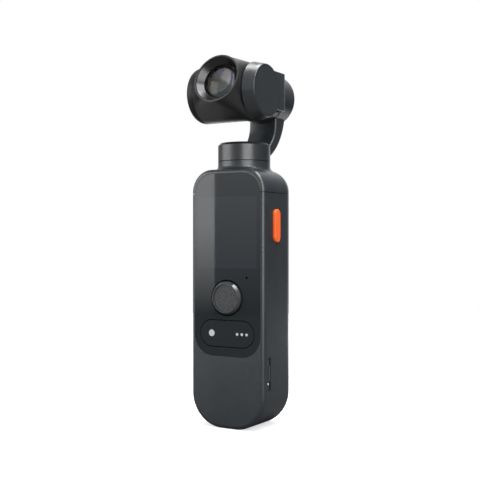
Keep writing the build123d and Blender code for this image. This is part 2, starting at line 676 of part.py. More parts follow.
# Two push switches under the key
with BuildPart() as key_switches:
    with BuildSketch(front_plane(BOARD_FACE)):
        for side in (-1, 1):
            with Locations((side * KEY_SWITCH_X, KEY_HEIGHT)):
                Rectangle(KEY_SWITCH_SIZE, KEY_SWITCH_SIZE)
    extrude(amount=BOARD_FACE - KEY_PLUNGER_TIP - KEY_PLUNGER_LENGTH)
    with BuildSketch(front_plane(BOARD_FACE)):
        for side in (-1, 1):
            with Locations((side * KEY_SWITCH_X, KEY_HEIGHT)):
                Circle(KEY_PLUNGER)
    extrude(amount=BOARD_FACE - KEY_PLUNGER_TIP)
key_switches.part.label = "key_switches"
export_step(key_switches.part, "parts/key_switches.step")

# Microphone behind its pinhole
with BuildPart() as microphone:
    with BuildSketch(front_plane(CAVITY_FRONT)):
        with Locations((MIC_X, MIC_HEIGHT)):
            RectangleRounded(MIC_CAN_WIDTH, MIC_CAN_HEIGHT, MIC_HOLE)
    extrude(amount=-MIC_CAN_DEPTH)
microphone.part.label = "microphone"
export_step(microphone.part, "parts/microphone.step")

# Record button: a pill with a flange that keeps it in the wall
with BuildPart() as record_button:
    with BuildSketch(Plane.YZ.offset(SIDE + BUTTON_PROUD)):
        with Locations((BUTTON_Y, BUTTON_HEIGHT)):
            SlotOverall(BUTTON_LENGTH, BUTTON_WIDTH, rotation=90)
    extrude(amount=-BUTTON_PROUD - WALL - FIT - BUTTON_FLANGE)
    fillet(record_button.faces().sort_by(Axis.X)[-1].edges(), BUTTON_EDGE)
    with BuildSketch(Plane.YZ.offset(SIDE - WALL - FIT)):
        with Locations((BUTTON_Y, BUTTON_HEIGHT)):
            SlotOverall(
                BUTTON_LENGTH + 2 * BUTTON_FLANGE_RIM,
                BUTTON_WIDTH + 2 * BUTTON_FLANGE_RIM,
                rotation=90,
            )
    extrude(amount=-BUTTON_FLANGE)
record_button.part.label = "record_button"
export_step(record_button.part, "parts/record_button.step")

# Side-push switch on the board's edge, behind the record button
with BuildPart() as record_switch:
    with BuildSketch(front_plane(BOARD_BACK)):
        with Locations(((BOARD_WIDTH - BUTTON_SWITCH_DEPTH) / 2, BUTTON_HEIGHT)):
            Rectangle(BUTTON_SWITCH_DEPTH, BUTTON_SWITCH_HEIGHT)
    extrude(amount=-BUTTON_SWITCH_WIDTH)
    with BuildSketch(Plane.YZ.offset(BOARD_WIDTH / 2)):
        with Locations((BUTTON_Y, BUTTON_HEIGHT)):
            Circle(BUTTON_PLUNGER)
    extrude(amount=BUTTON_PLUNGER_LENGTH)
record_switch.part.label = "record_switch"
export_step(record_switch.part, "parts/record_switch.step")

# Card socket on the board
with BuildPart() as card_socket:
    with BuildSketch(Plane.YZ.offset(CARD_INNER_END - SOCKET_WALL - CARD_GAP)):
        with Locations(((SOCKET_FRONT + BOARD_FACE) / 2, CARD_HEIGHT)):
            Rectangle(BOARD_FACE - SOCKET_FRONT, CARD_WIDTH + 2 * (CARD_GAP / 2 + SOCKET_WALL))
    extrude(amount=SOCKET_LENGTH)
    with BuildSketch(Plane.YZ.offset(CARD_INNER_END - CARD_GAP)):
        with Locations((CARD_Y, CARD_HEIGHT)):
            Rectangle(CARD_THICKNESS + CARD_GAP, CARD_WIDTH + CARD_GAP)
    extrude(amount=SOCKET_LENGTH, mode=Mode.SUBTRACT)
card_socket.part.label = "card_socket"
export_step(card_socket.part, "parts/card_socket.step")

# Memory card with the thicker edge that a fingernail catches
with BuildPart() as memory_card:
    with BuildSketch(Plane.YZ.offset(CARD_INNER_END)):
        with Locations((CARD_Y, CARD_HEIGHT)):
            Rectangle(CARD_THICKNESS, CARD_WIDTH)
    extrude(amount=CARD_LENGTH)
    with BuildSketch(Plane.YZ.offset(CARD_INNER_END + CARD_LENGTH)):
        with Locations((CARD_Y, CARD_HEIGHT)):
            Rectangle(CARD_THICKNESS + CARD_GAP, CARD_WIDTH / 2)
    extrude(amount=-CARD_SUNK)
memory_card.part.label = "memory_card"
export_step(memory_card.part, "parts/memory_card.step")

# Light pipe of the status light beside the card
with BuildPart() as status_light:
    with BuildSketch(Plane.YZ.offset(SIDE - SLOT_RECESS_DEPTH)):
        with Locations((LIGHT_Y, LIGHT_HEIGHT)):
            Circle(LIGHT_RADIUS)
    extrude(amount=-WALL)
status_light.part.label = "status_light"
export_step(status_light.part, "parts/status_light.step")

# Threaded insert in the foot
with BuildPart() as tripod_insert:
    with BuildSketch(Plane.XY):
        Circle(INSERT_RADIUS)
    extrude(amount=INSERT_HEIGHT)
    with BuildSketch(Plane.XY):
        Circle(THREAD_RADIUS)
    extrude(amount=THREAD_DEPTH, mode=Mode.SUBTRACT)
tripod_insert.part.label = "tripod_insert"
export_step(tripod_insert.part, "parts/tripod_insert.step")

# Charging port on the board's edge
with BuildPart() as charging_port:
    with BuildSketch(Plane.YZ.offset(PORT_SUNK - SIDE)):
        with Locations((PORT_Y, PORT_HEIGHT)):
            SlotOverall(PORT_LENGTH, PORT_WIDTH, rotation=90)
    extrude(amount=PORT_DEPTH)
    with BuildSketch(Plane.YZ.offset(PORT_SUNK - SIDE)):
        with Locations((PORT_Y, PORT_HEIGHT)):
            SlotOverall(PORT_LENGTH - 2 * PORT_WALL, PORT_WIDTH - 2 * PORT_WALL, rotation=90)
    extrude(amount=PORT_DEPTH - PORT_WALL, mode=Mode.SUBTRACT)
    with BuildSketch(Plane.YZ.offset(PORT_SUNK + 2 * PORT_WALL - SIDE)):
        with Locations((PORT_Y, PORT_HEIGHT)):
            Rectangle(TONGUE_THICKNESS, TONGUE_LENGTH)
    extrude(amount=PORT_DEPTH - 2 * PORT_WALL)
charging_port.part.label = "charging_port"
export_step(charging_port.part, "parts/charging_port.step")


def build_motor(name, seat, motor, base_radius):
    """One gimbal motor: fixed base, bearings and coil core, and the turning magnet ring and shaft."""
    core_start, core_end = motor["core"]
    magnet_start, magnet_end = motor["magnet"]
    with BuildPart() as base:
        with BuildSketch(seat):
            Circle(base_radius)
        extrude(amount=motor["base"])
        with BuildSketch(seat):
            Circle(BEARING_RADIUS + TUBE_WALL)
        extrude(amount=motor["tube"])
        with BuildSketch(seat):
            Circle(BEARING_RADIUS + SEAT_FIT)
            with PolarLocations(MOTOR_SCREW_RADIUS, MOTOR_SCREWS):
                Circle(SCREW_SHANK + SEAT_FIT)
        extrude(amount=motor["tube"], mode=Mode.SUBTRACT)
    base.part.label = f"{name}_motor_base"
    export_step(base.part, f"parts/{name}_motor_base.step")

    with BuildPart() as bearings:
        for start in (FIT, motor["tube"] - BEARING_LENGTH):
            with BuildSketch(seat.offset(start)):
                Circle(BEARING_RADIUS)
                Circle(SHAFT_RADIUS + SHAFT_FIT, mode=Mode.SUBTRACT)
            extrude(amount=BEARING_LENGTH)
    bearings.part.label = f"{name}_bearings"
    export_step(bearings.part, f"parts/{name}_bearings.step")

    with BuildPart() as core:
        with BuildSketch(seat.offset(core_start)):
            Circle(CORE_RADIUS)
            Circle(CORE_RADIUS - TOOTH_TIP, mode=Mode.SUBTRACT)
            with PolarLocations((CORE_HUB_RADIUS + CORE_RADIUS - TOOTH_TIP) / 2, TEETH):
                Rectangle(CORE_RADIUS - CORE_HUB_RADIUS, TOOTH_GAP)
            Circle(CORE_HUB_RADIUS)
            with PolarLocations(CORE_RADIUS, TEETH, start_angle=180 / TEETH):
                Rectangle(TOOTH_CUT, TOOTH_GAP, mode=Mode.SUBTRACT)
            Circle(BEARING_RADIUS + TUBE_WALL + SEAT_FIT, mode=Mode.SUBTRACT)
        extrude(amount=core_end - core_start)
    core.part.label = f"{name}_coil_core"
    export_step(core.part, f"parts/{name}_coil_core.step")

    with BuildPart() as magnet_ring:
        with BuildSketch(seat.offset(magnet_start)):
            Circle(BELL_RADIUS - SEAT_FIT)
            Circle(MAGNET_INNER, mode=Mode.SUBTRACT)
        extrude(amount=magnet_end - magnet_start)
    magnet_ring.part.label = f"{name}_magnet_ring"
    export_step(magnet_ring.part, f"parts/{name}_magnet_ring.step")

    with BuildPart() as shaft:
        with BuildSketch(seat.offset(2 * FIT)):
            Circle(SHAFT_RADIUS)
        extrude(amount=motor["shaft"] - 2 * FIT)
    shaft.part.label = f"{name}_shaft"
    export_step(shaft.part, f"parts/{name}_shaft.step")


def build_motor_screws(name, seat, motor):
    """Screws that fix a motor's base to the web under it."""
    with BuildPart() as screws:
        with BuildSketch(seat.offset(motor["base"])):
            with PolarLocations(MOTOR_SCREW_RADIUS, MOTOR_SCREWS):
                Circle(SCREW_HEAD)
        extrude(amount=SCREW_HEAD_HEIGHT)
        with BuildSketch(seat.offset(-MOTOR_SCREW_BITE)):
            with PolarLocations(MOTOR_SCREW_RADIUS, MOTOR_SCREWS):
                Circle(SCREW_SHANK)
        extrude(amount=MOTOR_SCREW_BITE + motor["base"])
    screws.part.label = f"{name}_motor_screws"
    export_step(screws.part, f"parts/{name}_motor_screws.step")


build_motor("pan", PAN_PLANE, PAN_MOTOR, BASE_RADIUS)
build_motor_screws("pan", PAN_PLANE, PAN_MOTOR)
build_motor("roll", ROLL_PLANE, PAN_MOTOR, BASE_RADIUS)
build_motor_screws("roll", ROLL_PLANE, PAN_MOTOR)
build_motor("tilt", TILT_PLANE, TILT_MOTOR, TILT_CAVITY_RADIUS - SEAT_FIT)

# Yaw arm: the collar over the pan motor, the curved arm and the roll motor's housing in one casting
with BuildPart() as yaw_arm:
    with BuildSketch(Plane.YZ.offset(-ARM_WIDTH / 2)):
        with BuildLine():
            ThreePointArc(ARM_ROOT_OUTER, ARM_OUTER_MIDDLE, ARM_OUTER_TOP)
            Polyline(ARM_OUTER_TOP, (HOUSING_FRONT, ARM_OUTER_TOP[1]), ARM_INNER_TOP)
            ThreePointArc(ARM_INNER_TOP, ARM_INNER_MIDDLE, ARM_ROOT_INNER)
            Line(ARM_ROOT_INNER, ARM_ROOT_OUTER)
        make_face()
    extrude(amount=ARM_WIDTH)
    fillet(yaw_arm.edges().filter_by(GeomType.CIRCLE), ARM_EDGE)
    with BuildSketch(roll_plane(HOUSING_FRONT)):
        Circle(HOUSING_RADIUS)
    extrude(amount=HOUSING_REAR - HOUSING_FRONT)
    with BuildPart(mode=Mode.PRIVATE) as collar:
        with BuildSketch(Plane.XY.offset(COLLAR_BOTTOM)):
            Circle(NECK_RADIUS)
        extrude(amount=COLLAR_TOP - COLLAR_BOTTOM)
        chamfer(collar.faces().sort_by(Axis.Z)[-1].edges(), COLLAR_CHAMFER)
    add(collar.part)
    with BuildSketch(Plane.XY.offset(COLLAR_BOTTOM)):
        Circle(BELL_RADIUS)
    extrude(amount=PAN_SEAT + PAN_MOTOR["bell"] - COLLAR_BOTTOM, mode=Mode.SUBTRACT)
    with BuildSketch(PAN_PLANE):
        Circle(SHAFT_RADIUS + SEAT_FIT)
    extrude(amount=PAN_MOTOR["shaft"], mode=Mode.SUBTRACT)
    with BuildSketch(roll_plane(HOUSING_FRONT)):
        Circle(BELL_RADIUS)
    extrude(amount=MOTOR_MOUTH, mode=Mode.SUBTRACT)
    with BuildSketch(roll_plane(ROLL_SEAT + HOUSING_WEB)):
        Circle(HOUSING_CAP_RADIUS - HOUSING_CAP_SEAT)
    extrude(amount=HOUSING_REAR - ROLL_SEAT - HOUSING_WEB, mode=Mode.SUBTRACT)
    with BuildSketch(roll_plane(HOUSING_REAR - HOUSING_CAP_THICKNESS)):
        Circle(HOUSING_CAP_RADIUS + SEAT_FIT)
    extrude(amount=HOUSING_CAP_THICKNESS, mode=Mode.SUBTRACT)
    with BuildSketch(ROLL_PLANE):
        with PolarLocations(MOTOR_SCREW_RADIUS, MOTOR_SCREWS):
            Circle(SCREW_SHANK + SEAT_FIT)
    extrude(amount=-HOUSING_WEB, mode=Mode.SUBTRACT)
yaw_arm.part.label = "yaw_arm"
export_step(yaw_arm.part, "parts/yaw_arm.step")

# Round cap that closes the roll motor's housing at the back
with BuildPart() as roll_motor_cap:
    with BuildSketch(roll_plane(HOUSING_REAR - HOUSING_CAP_THICKNESS)):
        Circle(HOUSING_CAP_RADIUS)
    extrude(amount=HOUSING_CAP_THICKNESS)
    chamfer(roll_motor_cap.faces().sort_by(Axis.Y)[-1].edges(), TILT_EDGE)
roll_motor_cap.part.label = "roll_motor_cap"
export_step(roll_motor_cap.part, "parts/roll_motor_cap.step")

# Roll bracket: the roll motor's bell, the L-shaped walls and the tilt motor's housing in one casting
with BuildPart() as roll_bracket:
    with BuildSketch(side_plane(TILT_HOUSING_INNER)):
        Circle(TILT_HOUSING_RADIUS)
    extrude(amount=BRACKET_SIDE - TILT_HOUSING_INNER, taper=TILT_HOUSING_TAPER)
    with BuildSketch(side_plane(BRACKET_SIDE - BRACKET_WALL)):
        with Locations(((BRACKET_REAR - TILT_Y) / 2, WALL_DROP)):
            Rectangle(BRACKET_REAR - TILT_Y, 2 * BRACKET_HALF_HEIGHT)
    extrude(amount=BRACKET_WALL)
    with BuildSketch(roll_plane(BRACKET_REAR - BRACKET_REAR_WALL)):
        with Locations((-BRACKET_SIDE / 2, 0)):
            Rectangle(BRACKET_SIDE, 2 * BRACKET_HALF_HEIGHT)
    extrude(amount=BRACKET_REAR_WALL)
    fillet(roll_bracket.edges().filter_by(Axis.Z).group_by(Axis.Y)[-1].sort_by(Axis.X)[-1], BRACKET_CORNER)
    fillet(roll_bracket.faces().sort_by(Axis.X)[-1].edges(), TILT_EDGE)
    with BuildSketch(roll_plane(BRACKET_REAR - BRACKET_REAR_WALL)):
        Circle(NECK_RADIUS)
    extrude(amount=HOUSING_FRONT - RUNNING_GAP - BRACKET_REAR + BRACKET_REAR_WALL)
    with BuildSketch(roll_plane(ROLL_SEAT - PAN_MOTOR["bell"])):
        Circle(BELL_RADIUS)
    extrude(amount=PAN_MOTOR["bell"] - MOTOR_MOUTH, mode=Mode.SUBTRACT)
    with BuildSketch(ROLL_PLANE):
        Circle(SHAFT_RADIUS + SEAT_FIT)
    extrude(amount=PAN_MOTOR["shaft"], mode=Mode.SUBTRACT)
    with BuildSketch(side_plane(TILT_HOUSING_INNER)):
        Circle(TILT_CAVITY_RADIUS)
    extrude(amount=TILT_CAVITY_END - TILT_HOUSING_INNER, mode=Mode.SUBTRACT)
    with BuildSketch(side_plane(BRACKET_SIDE - TILT_CAP_THICKNESS)):
        Circle(TILT_CAP_RADIUS + SEAT_FIT)
    extrude(amount=TILT_CAP_THICKNESS, mode=Mode.SUBTRACT)
    with BuildSketch(TILT_PLANE):
        with PolarLocations(MOTOR_SCREW_RADIUS, MOTOR_SCREWS):
            Circle(SCREW_SHANK + SEAT_FIT)
    extrude(amount=TILT_CAVITY_END - BRACKET_SIDE, mode=Mode.SUBTRACT)
    with BuildSketch(side_plane(BRACKET_SIDE - TILT_CAP_THICKNESS)):
        with PolarLocations(MOTOR_SCREW_RADIUS, MOTOR_SCREWS, start_angle=90):
            Circle(SCREW_HEAD + SEAT_FIT)
    extrude(amount=-TILT_SCREW_HEAD, mode=Mode.SUBTRACT)
roll_bracket.part.label = "roll_bracket"
export_step(roll_bracket.part, "parts/roll_bracket.step")

# Screws of the tilt motor, put in from the outside under its cap
with BuildPart() as tilt_motor_screws:
    with BuildSketch(side_plane(BRACKET_SIDE - TILT_CAP_THICKNESS)):
        with PolarLocations(MOTOR_SCREW_RADIUS, MOTOR_SCREWS, start_angle=90):
            Circle(SCREW_HEAD)
    extrude(amount=-TILT_SCREW_HEAD)
    with BuildSketch(side_plane(BRACKET_SIDE - TILT_CAP_THICKNESS)):
        with PolarLocations(MOTOR_SCREW_RADIUS, MOTOR_SCREWS, start_angle=90):
            Circle(SCREW_SHANK)
    extrude(amount=TILT_CAVITY_END - BRACKET_SIDE + TILT_CAP_THICKNESS - TILT_MOTOR["base"])
tilt_motor_screws.part.label = "tilt_motor_screws"
export_step(tilt_motor_screws.part, "parts/tilt_motor_screws.step")

# Round cap over the tilt motor, flush with the bracket's flat side
with BuildPart() as tilt_motor_cap:
    with BuildSketch(side_plane(BRACKET_SIDE - TILT_CAP_THICKNESS)):
        Circle(TILT_CAP_RADIUS - TILT_CAP_GAP)
    extrude(amount=TILT_CAP_THICKNESS)
tilt_motor_cap.part.label = "tilt_motor_cap"
export_step(tilt_motor_cap.part, "parts/tilt_motor_cap.step")

# Tilt rotor: the cup that carries the magnets into the bracket's housing
with BuildPart() as tilt_rotor:
    with BuildSketch(TILT_PLANE.offset(TILT_MOTOR["magnet"][0])):
        Circle(TILT_ROTOR_RADIUS)
    extrude(amount=TILT_CAVITY_END - HEAD_RIGHT - TILT_MOTOR["magnet"][0])
    with BuildSketch(TILT_PLANE):
        Circle(BELL_RADIUS)
    extrude(amount=TILT_MOTOR["bell"], mode=Mode.SUBTRACT)
    with BuildSketch(TILT_PLANE):
        Circle(SHAFT_RADIUS + SEAT_FIT)
    extrude(amount=TILT_MOTOR["shaft"], mode=Mode.SUBTRACT)
tilt_rotor.part.label = "tilt_rotor"
export_step(tilt_rotor.part, "parts/tilt_rotor.step")

# Head shell: a drum across the tilt axis, drawn out and rounded down to the mouth of the lens barrel
with BuildPart() as head_shell:
    with BuildSketch(reach_plane(HEAD_RIGHT)):
        Circle(HEAD_RADIUS)
        Rectangle(BARREL_FRONT, 2 * BARREL_RADIUS, align=(Align.MIN, Align.CENTER))
        make_hull()
    extrude(amount=HEAD_WIDTH)
    with BuildSketch(Plane(LENS_PLANE.origin, x_dir=LENS_DIRECTION, z_dir=LENS_UP)):
        with BuildLine():
            flare = ThreePointArc((BARREL_FRONT, BARREL_RADIUS), *BARREL_FLARE)
            Polyline(flare @ 1, (-BARREL_REACH, FLARE_RADIUS), (-BARREL_REACH, 0), (BARREL_FRONT, 0), flare @ 0)
        make_face()
    revolve(axis=Axis(LENS_PLANE.origin, LENS_DIRECTION), mode=Mode.INTERSECT)
    with BuildSketch(LENS_MOUTH):
        Circle(BARREL_RADIUS)
    extrude(amount=BARREL_LIP)
    with BuildSketch(side_plane(HEAD_SEAM)):
        Circle(HEAD_RADIUS - HEAD_WALL)
    extrude(amount=HEAD_RIGHT - HEAD_END_WALL - HEAD_SEAM, mode=Mode.SUBTRACT)
    with BuildSketch(LENS_PLANE):
        Circle(BARREL_BORE)
    extrude(amount=BARREL_REACH, mode=Mode.SUBTRACT)
    with BuildSketch(LENS_PLANE.offset(BARREL_REACH - TRIM_DEPTH)):
        Circle(TRIM_SEAT)
    extrude(amount=TRIM_DEPTH, mode=Mode.SUBTRACT)
    with BuildSketch(TILT_PLANE):
        Circle(SHAFT_RADIUS + SEAT_FIT)
    extrude(amount=TILT_MOTOR["shaft"], mode=Mode.SUBTRACT)
head_shell.part.label = "head_shell"
export_step(head_shell.part, "parts/head_shell.step")

# Left end cap of the head
with BuildPart() as head_cap:
    with BuildSketch(side_plane(HEAD_LEFT)):
        Circle(HEAD_RADIUS)
    extrude(amount=HEAD_SEAM - HEAD_SEAM_GAP - HEAD_LEFT)
    fillet(head_cap.faces().sort_by(Axis.X)[0].edges(), HEAD_CAP_EDGE)
    with BuildSketch(side_plane(HEAD_SEAM - HEAD_SEAM_GAP)):
        Circle(HEAD_RADIUS - HEAD_WALL - SEAT_FIT)
    extrude(amount=HEAD_CAP_LIP)
    with BuildSketch(side_plane(HEAD_LEFT + HEAD_WALL)):
        Circle(HEAD_RADIUS - 2 * HEAD_WALL)
    extrude(amount=HEAD_SEAM - HEAD_LEFT + HEAD_CAP_LIP, mode=Mode.SUBTRACT)
head_cap.part.label = "head_cap"
export_step(head_cap.part, "parts/head_cap.step")

# Motion sensor board behind the end cap
with BuildPart() as motion_board:
    with BuildSketch(side_plane(HEAD_SEAM - HEAD_SEAM_GAP + HEAD_CAP_LIP)):
        Circle(HEAD_RADIUS - HEAD_WALL - SEAT_FIT)
    extrude(amount=IMU_THICKNESS)
motion_board.part.label = "motion_board"
export_step(motion_board.part, "parts/motion_board.step")

# Bevelled trim ring in the mouth of the barrel
with BuildPart() as lens_trim_ring:
    with BuildSketch(LENS_PLANE.offset(BARREL_REACH - TRIM_DEPTH)):
        Circle(TRIM_SEAT - SEAT_FIT)
    extrude(amount=TRIM_DEPTH - TRIM_SUNK)
    with BuildSketch(LENS_PLANE.offset(BARREL_REACH - TRIM_DEPTH)):
        Circle(TRIM_THROAT)
    extrude(amount=TRIM_LIP, mode=Mode.SUBTRACT)
    with BuildSketch(LENS_PLANE.offset(BARREL_REACH - TRIM_DEPTH + TRIM_LIP)):
        Circle(TRIM_THROAT)
    with BuildSketch(LENS_PLANE.offset(BARREL_REACH - TRIM_SUNK)):
        Circle(TRIM_RIM)
    loft(mode=Mode.SUBTRACT)
lens_trim_ring.part.label = "lens_trim_ring"
export_step(lens_trim_ring.part, "parts/lens_trim_ring.step")

# Front lens: a domed glass
with BuildPart() as front_lens:
    with BuildSketch(LENS_PLANE.offset(LENS_BACK)):
        Circle(LENS_RADIUS)
    extrude(amount=LENS_EDGE + LENS_RADIUS)
    with Locations(LENS_PLANE.offset(LENS_TOP - (LENS_DOME**2 - LENS_RADIUS**2) ** 0.5)):
        Sphere(LENS_DOME, mode=Mode.INTERSECT)
front_lens.part.label = "front_lens"
export_step(front_lens.part, "parts/front_lens.step")

# Black ring that holds the front lens
with BuildPart() as lens_retainer:
    with BuildSketch(LENS_PLANE.offset(LENS_BACK)):
        Circle(TRIM_THROAT - SEAT_FIT)
        Circle(LENS_RADIUS + SEAT_FIT, mode=Mode.SUBTRACT)
    extrude(amount=RETAINER_HEIGHT)
lens_retainer.part.label = "lens_retainer"
export_step(lens_retainer.part, "parts/lens_retainer.step")

# Tube that holds the lenses on the axis
with BuildPart() as lens_holder:
    with BuildSketch(LENS_PLANE.offset(HOLDER_REAR)):
        Circle(BARREL_BORE - SEAT_FIT)
        Circle(HOLDER_INNER, mode=Mode.SUBTRACT)
    extrude(amount=LENS_BACK - HOLDER_REAR)
lens_holder.part.label = "lens_holder"
export_step(lens_holder.part, "parts/lens_holder.step")

# Inner lenses
with BuildPart() as inner_lenses:
    for start, thickness in INNER_LENSES:
        with BuildSketch(LENS_PLANE.offset(start)):
            Circle(HOLDER_INNER - SEAT_FIT)
        extrude(amount=thickness)
inner_lenses.part.label = "inner_lenses"
export_step(inner_lenses.part, "parts/inner_lenses.step")

# Image sensor and its board at the back of the holder
with BuildPart() as image_sensor:
    with BuildSketch(LENS_PLANE.offset(HOLDER_REAR)):
        Rectangle(SENSOR_WIDTH, SENSOR_HEIGHT)
    extrude(amount=SENSOR_THICKNESS)
image_sensor.part.label = "image_sensor"
export_step(image_sensor.part, "parts/image_sensor.step")

with BuildPart() as sensor_board:
    with BuildSketch(LENS_PLANE.offset(HOLDER_REAR)):
        Rectangle(SENSOR_BOARD, SENSOR_BOARD)
    extrude(amount=-SENSOR_BOARD_THICKNESS)
sensor_board.part.label = "sensor_board"
export_step(sensor_board.part, "parts/sensor_board.step")
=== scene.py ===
import json
from math import cos, degrees, pi, radians, sin, tau

import bmesh
import bpy
from bpy.props import FloatProperty, FloatVectorProperty, PointerProperty
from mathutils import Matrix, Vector


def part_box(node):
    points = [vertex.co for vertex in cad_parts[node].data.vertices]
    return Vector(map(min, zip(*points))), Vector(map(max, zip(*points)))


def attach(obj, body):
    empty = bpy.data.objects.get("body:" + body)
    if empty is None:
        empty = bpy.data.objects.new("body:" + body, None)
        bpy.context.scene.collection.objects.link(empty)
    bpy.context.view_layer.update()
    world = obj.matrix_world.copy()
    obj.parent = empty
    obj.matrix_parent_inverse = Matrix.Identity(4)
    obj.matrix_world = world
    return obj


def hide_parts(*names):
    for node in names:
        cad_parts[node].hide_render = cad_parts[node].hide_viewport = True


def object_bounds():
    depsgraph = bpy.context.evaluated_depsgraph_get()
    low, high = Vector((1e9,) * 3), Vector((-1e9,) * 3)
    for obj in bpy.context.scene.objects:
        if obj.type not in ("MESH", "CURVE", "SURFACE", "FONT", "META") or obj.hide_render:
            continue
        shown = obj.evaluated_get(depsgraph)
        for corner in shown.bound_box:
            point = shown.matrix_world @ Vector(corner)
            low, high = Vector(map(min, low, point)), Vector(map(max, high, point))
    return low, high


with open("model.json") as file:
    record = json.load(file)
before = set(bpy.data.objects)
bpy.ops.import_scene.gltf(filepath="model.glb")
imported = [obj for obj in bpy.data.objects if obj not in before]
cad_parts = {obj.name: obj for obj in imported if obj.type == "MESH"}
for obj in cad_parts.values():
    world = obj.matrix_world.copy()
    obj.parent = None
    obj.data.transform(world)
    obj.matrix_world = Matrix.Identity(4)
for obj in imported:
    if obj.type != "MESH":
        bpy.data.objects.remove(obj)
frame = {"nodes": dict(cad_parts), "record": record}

bl_info = {
    "name": "Pocket gimbal camera",
    "version": (1, 0, 0),
    "blender": (4, 5, 0),
    "location": "3D View > Sidebar > Camera",
    "description": "Dresses the frame of a pocket gimbal camera and sets up its stage",
    "category": "Object",
}

# The CAD box, and the places that the pieces take from the frame
CAD_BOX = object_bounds()
GRIP_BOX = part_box("grip_shell")
STICK_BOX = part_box("stick_cap")
DISPLAY_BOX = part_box("display_panel")
INSERT_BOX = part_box("tripod_insert")
CARD_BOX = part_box("memory_card")
LIGHT_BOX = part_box("status_light")
HEAD_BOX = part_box("head_shell")
HEAD_CAP_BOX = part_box("head_cap")
INNER_LENS_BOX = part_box("inner_lenses")
JOINTS = {joint["name"]: joint for joint in frame["record"]["behaviour"]["joints"]}
TILT_CENTRE = Vector(JOINTS["tilt"]["pos_m"])
MOTORS = ("pan", "roll", "tilt")
RIGHT = Vector((1, 0, 0))
BACK = Vector((0, 1, 0))

# Sizes that the meshes share
MM = 0.001
OVERSHOOT = 1 * MM  # how far a cutter passes the face that it cuts
WELD_REACH = 0.0005 * MM
SHARP_EDGE = 28  # degrees between faces that stay apart in smooth shading
ROUND_POINTS = 96

# Scales of the finishes
NOISE_LOW, NOISE_HIGH = 0.3, 0.7  # noise mostly keeps between these
MOTTLE_SIZE = 6 * MM
GLOSS_SIZE = 1.5 * MM
GLOSS_CHANGE = 0.04
MARK_SIZE = 0.3 * MM
MARK_SHADE = 0.85
MARK_GLOSS = 0.12


def middle(box, axis):
    """The middle of a node's box along one axis."""
    return (box[0][axis] + box[1][axis]) / 2


def half(box, axis):
    """Half of a node's size along one axis."""
    return (box[1][axis] - box[0][axis]) / 2


def colour(name, text, default):
    """A colour that the sidebar shows."""
    return FloatVectorProperty(
        name=name, description=text, default=default, subtype="COLOR", size=3, min=0, max=1
    )


def length(name, text, default):
    """A length in metres that the sidebar shows."""
    return FloatProperty(name=name, description=text, default=default, unit="LENGTH", precision=5)


def angle(name, text, default):
    """An angle, given here and shown in the sidebar in degrees and held in radians."""
    return FloatProperty(name=name, description=text, default=radians(default), subtype="ANGLE")


def exact(turn):
    """An angle from the sidebar in radians, without the last digits that a property rounds off."""
    return radians(round(degrees(turn), 3))


def number(name, text, default, unit="NONE"):
    """A plain number that the sidebar shows."""
    return FloatProperty(name=name, description=text, default=default, unit=unit)


# Sizes and colours that a user would change
class CasingSettings(bpy.types.PropertyGroup):
    grip: colour("Grip", "Matte casing of the grip", (0.020, 0.025, 0.030))
    gimbal: colour("Gimbal", "Satin castings of the gimbal", (0.017, 0.021, 0.025))
    head: colour("Head", "Satin casing of the camera head", (0.014, 0.0142, 0.0145))
    cap: colour("Head's cap", "Matte cap on the head's left end", (0.011, 0.0112, 0.0115))
    grain: length("Grain", "Size of the casing's moulded grain", 0.16 * MM)


class HeadSettings(bpy.types.PropertyGroup):
    pitch: angle("Pitch", "Rise of the lens over level", 17)
    barrel: length("Barrel radius", "Radius of the lens barrel's mouth", 8.9 * MM)
    reach: length("Barrel reach", "The mouth's distance from the tilt axis", 12.7 * MM)
    lip: length("Lip", "Straight part of the barrel at its mouth", 0.45 * MM)
    edge: length("Edge", "Rounding of the drum's right end", 1.6 * MM)
    wall: length("Wall", "Thickness of the drum's wall", 1.2 * MM)
    end_wall: length("End wall", "Thickness of the drum's right end", 1.6 * MM)
    bore: length("Bore radius", "Radius of the bore behind the trim ring", 6.8 * MM)
    seat: length("Seat radius", "Radius of the trim ring's seat", 8.4 * MM)
    seat_depth: length("Seat depth", "Depth of the trim ring's seat", 3.2 * MM)
    shaft: length("Shaft radius", "Radius of the hole for the tilt shaft", 1.52 * MM)


class PanelSettings(bpy.types.PropertyGroup):
    glass: colour("Glass", "Dark print behind the front glass", (0.013, 0.017, 0.020))
    window: colour("Display window", "Display seen through the glass", (0.020, 0.024, 0.029))
    blur: length("Window's edge", "Half of the soft edge round the display window", 0.1 * MM)
    cells: colour("Display's cells", "Face of the display itself", (0.01, 0.01, 0.012))
    gaps: colour("Display's gaps", "Darker grid between the display's cells", (0.004, 0.004, 0.005))


class KeySettings(bpy.types.PropertyGroup):
    marks: colour("Marks", "Inlaid dots of the key", (0.52, 0.52, 0.54))
    button: colour("Record button", "Orange of the record button", (0.96, 0.14, 0.022))


class StickSettings(bpy.types.PropertyGroup):
    cap: colour("Cap", "Satin rim of the stick's cap", (0.036, 0.04, 0.044))
    pad: colour("Pad", "Knurled pad in the cap's hollow", (0.045, 0.047, 0.05))
    dish_radius: length("Dish radius", "Radius of the hollow in the stick's cap", 4.95 * MM)
    dish_depth: length("Dish depth", "Depth of the hollow under the rim", 0.45 * MM)
    pad_gap: length("Pad gap", "Gap between the pad and the rim", 0.1 * MM)
    pad_foot: length("Pad's foot", "Depth of the pad under the hollow's floor", 0.05 * MM)
    pitch: length("Knurl pitch", "Distance between the knurl's points", 0.6 * MM)
    depth: length("Knurl depth", "Height of the knurl's points", 0.2 * MM)
    crown: length("Crown", "Rise of the pad towards its middle", 0.2 * MM)


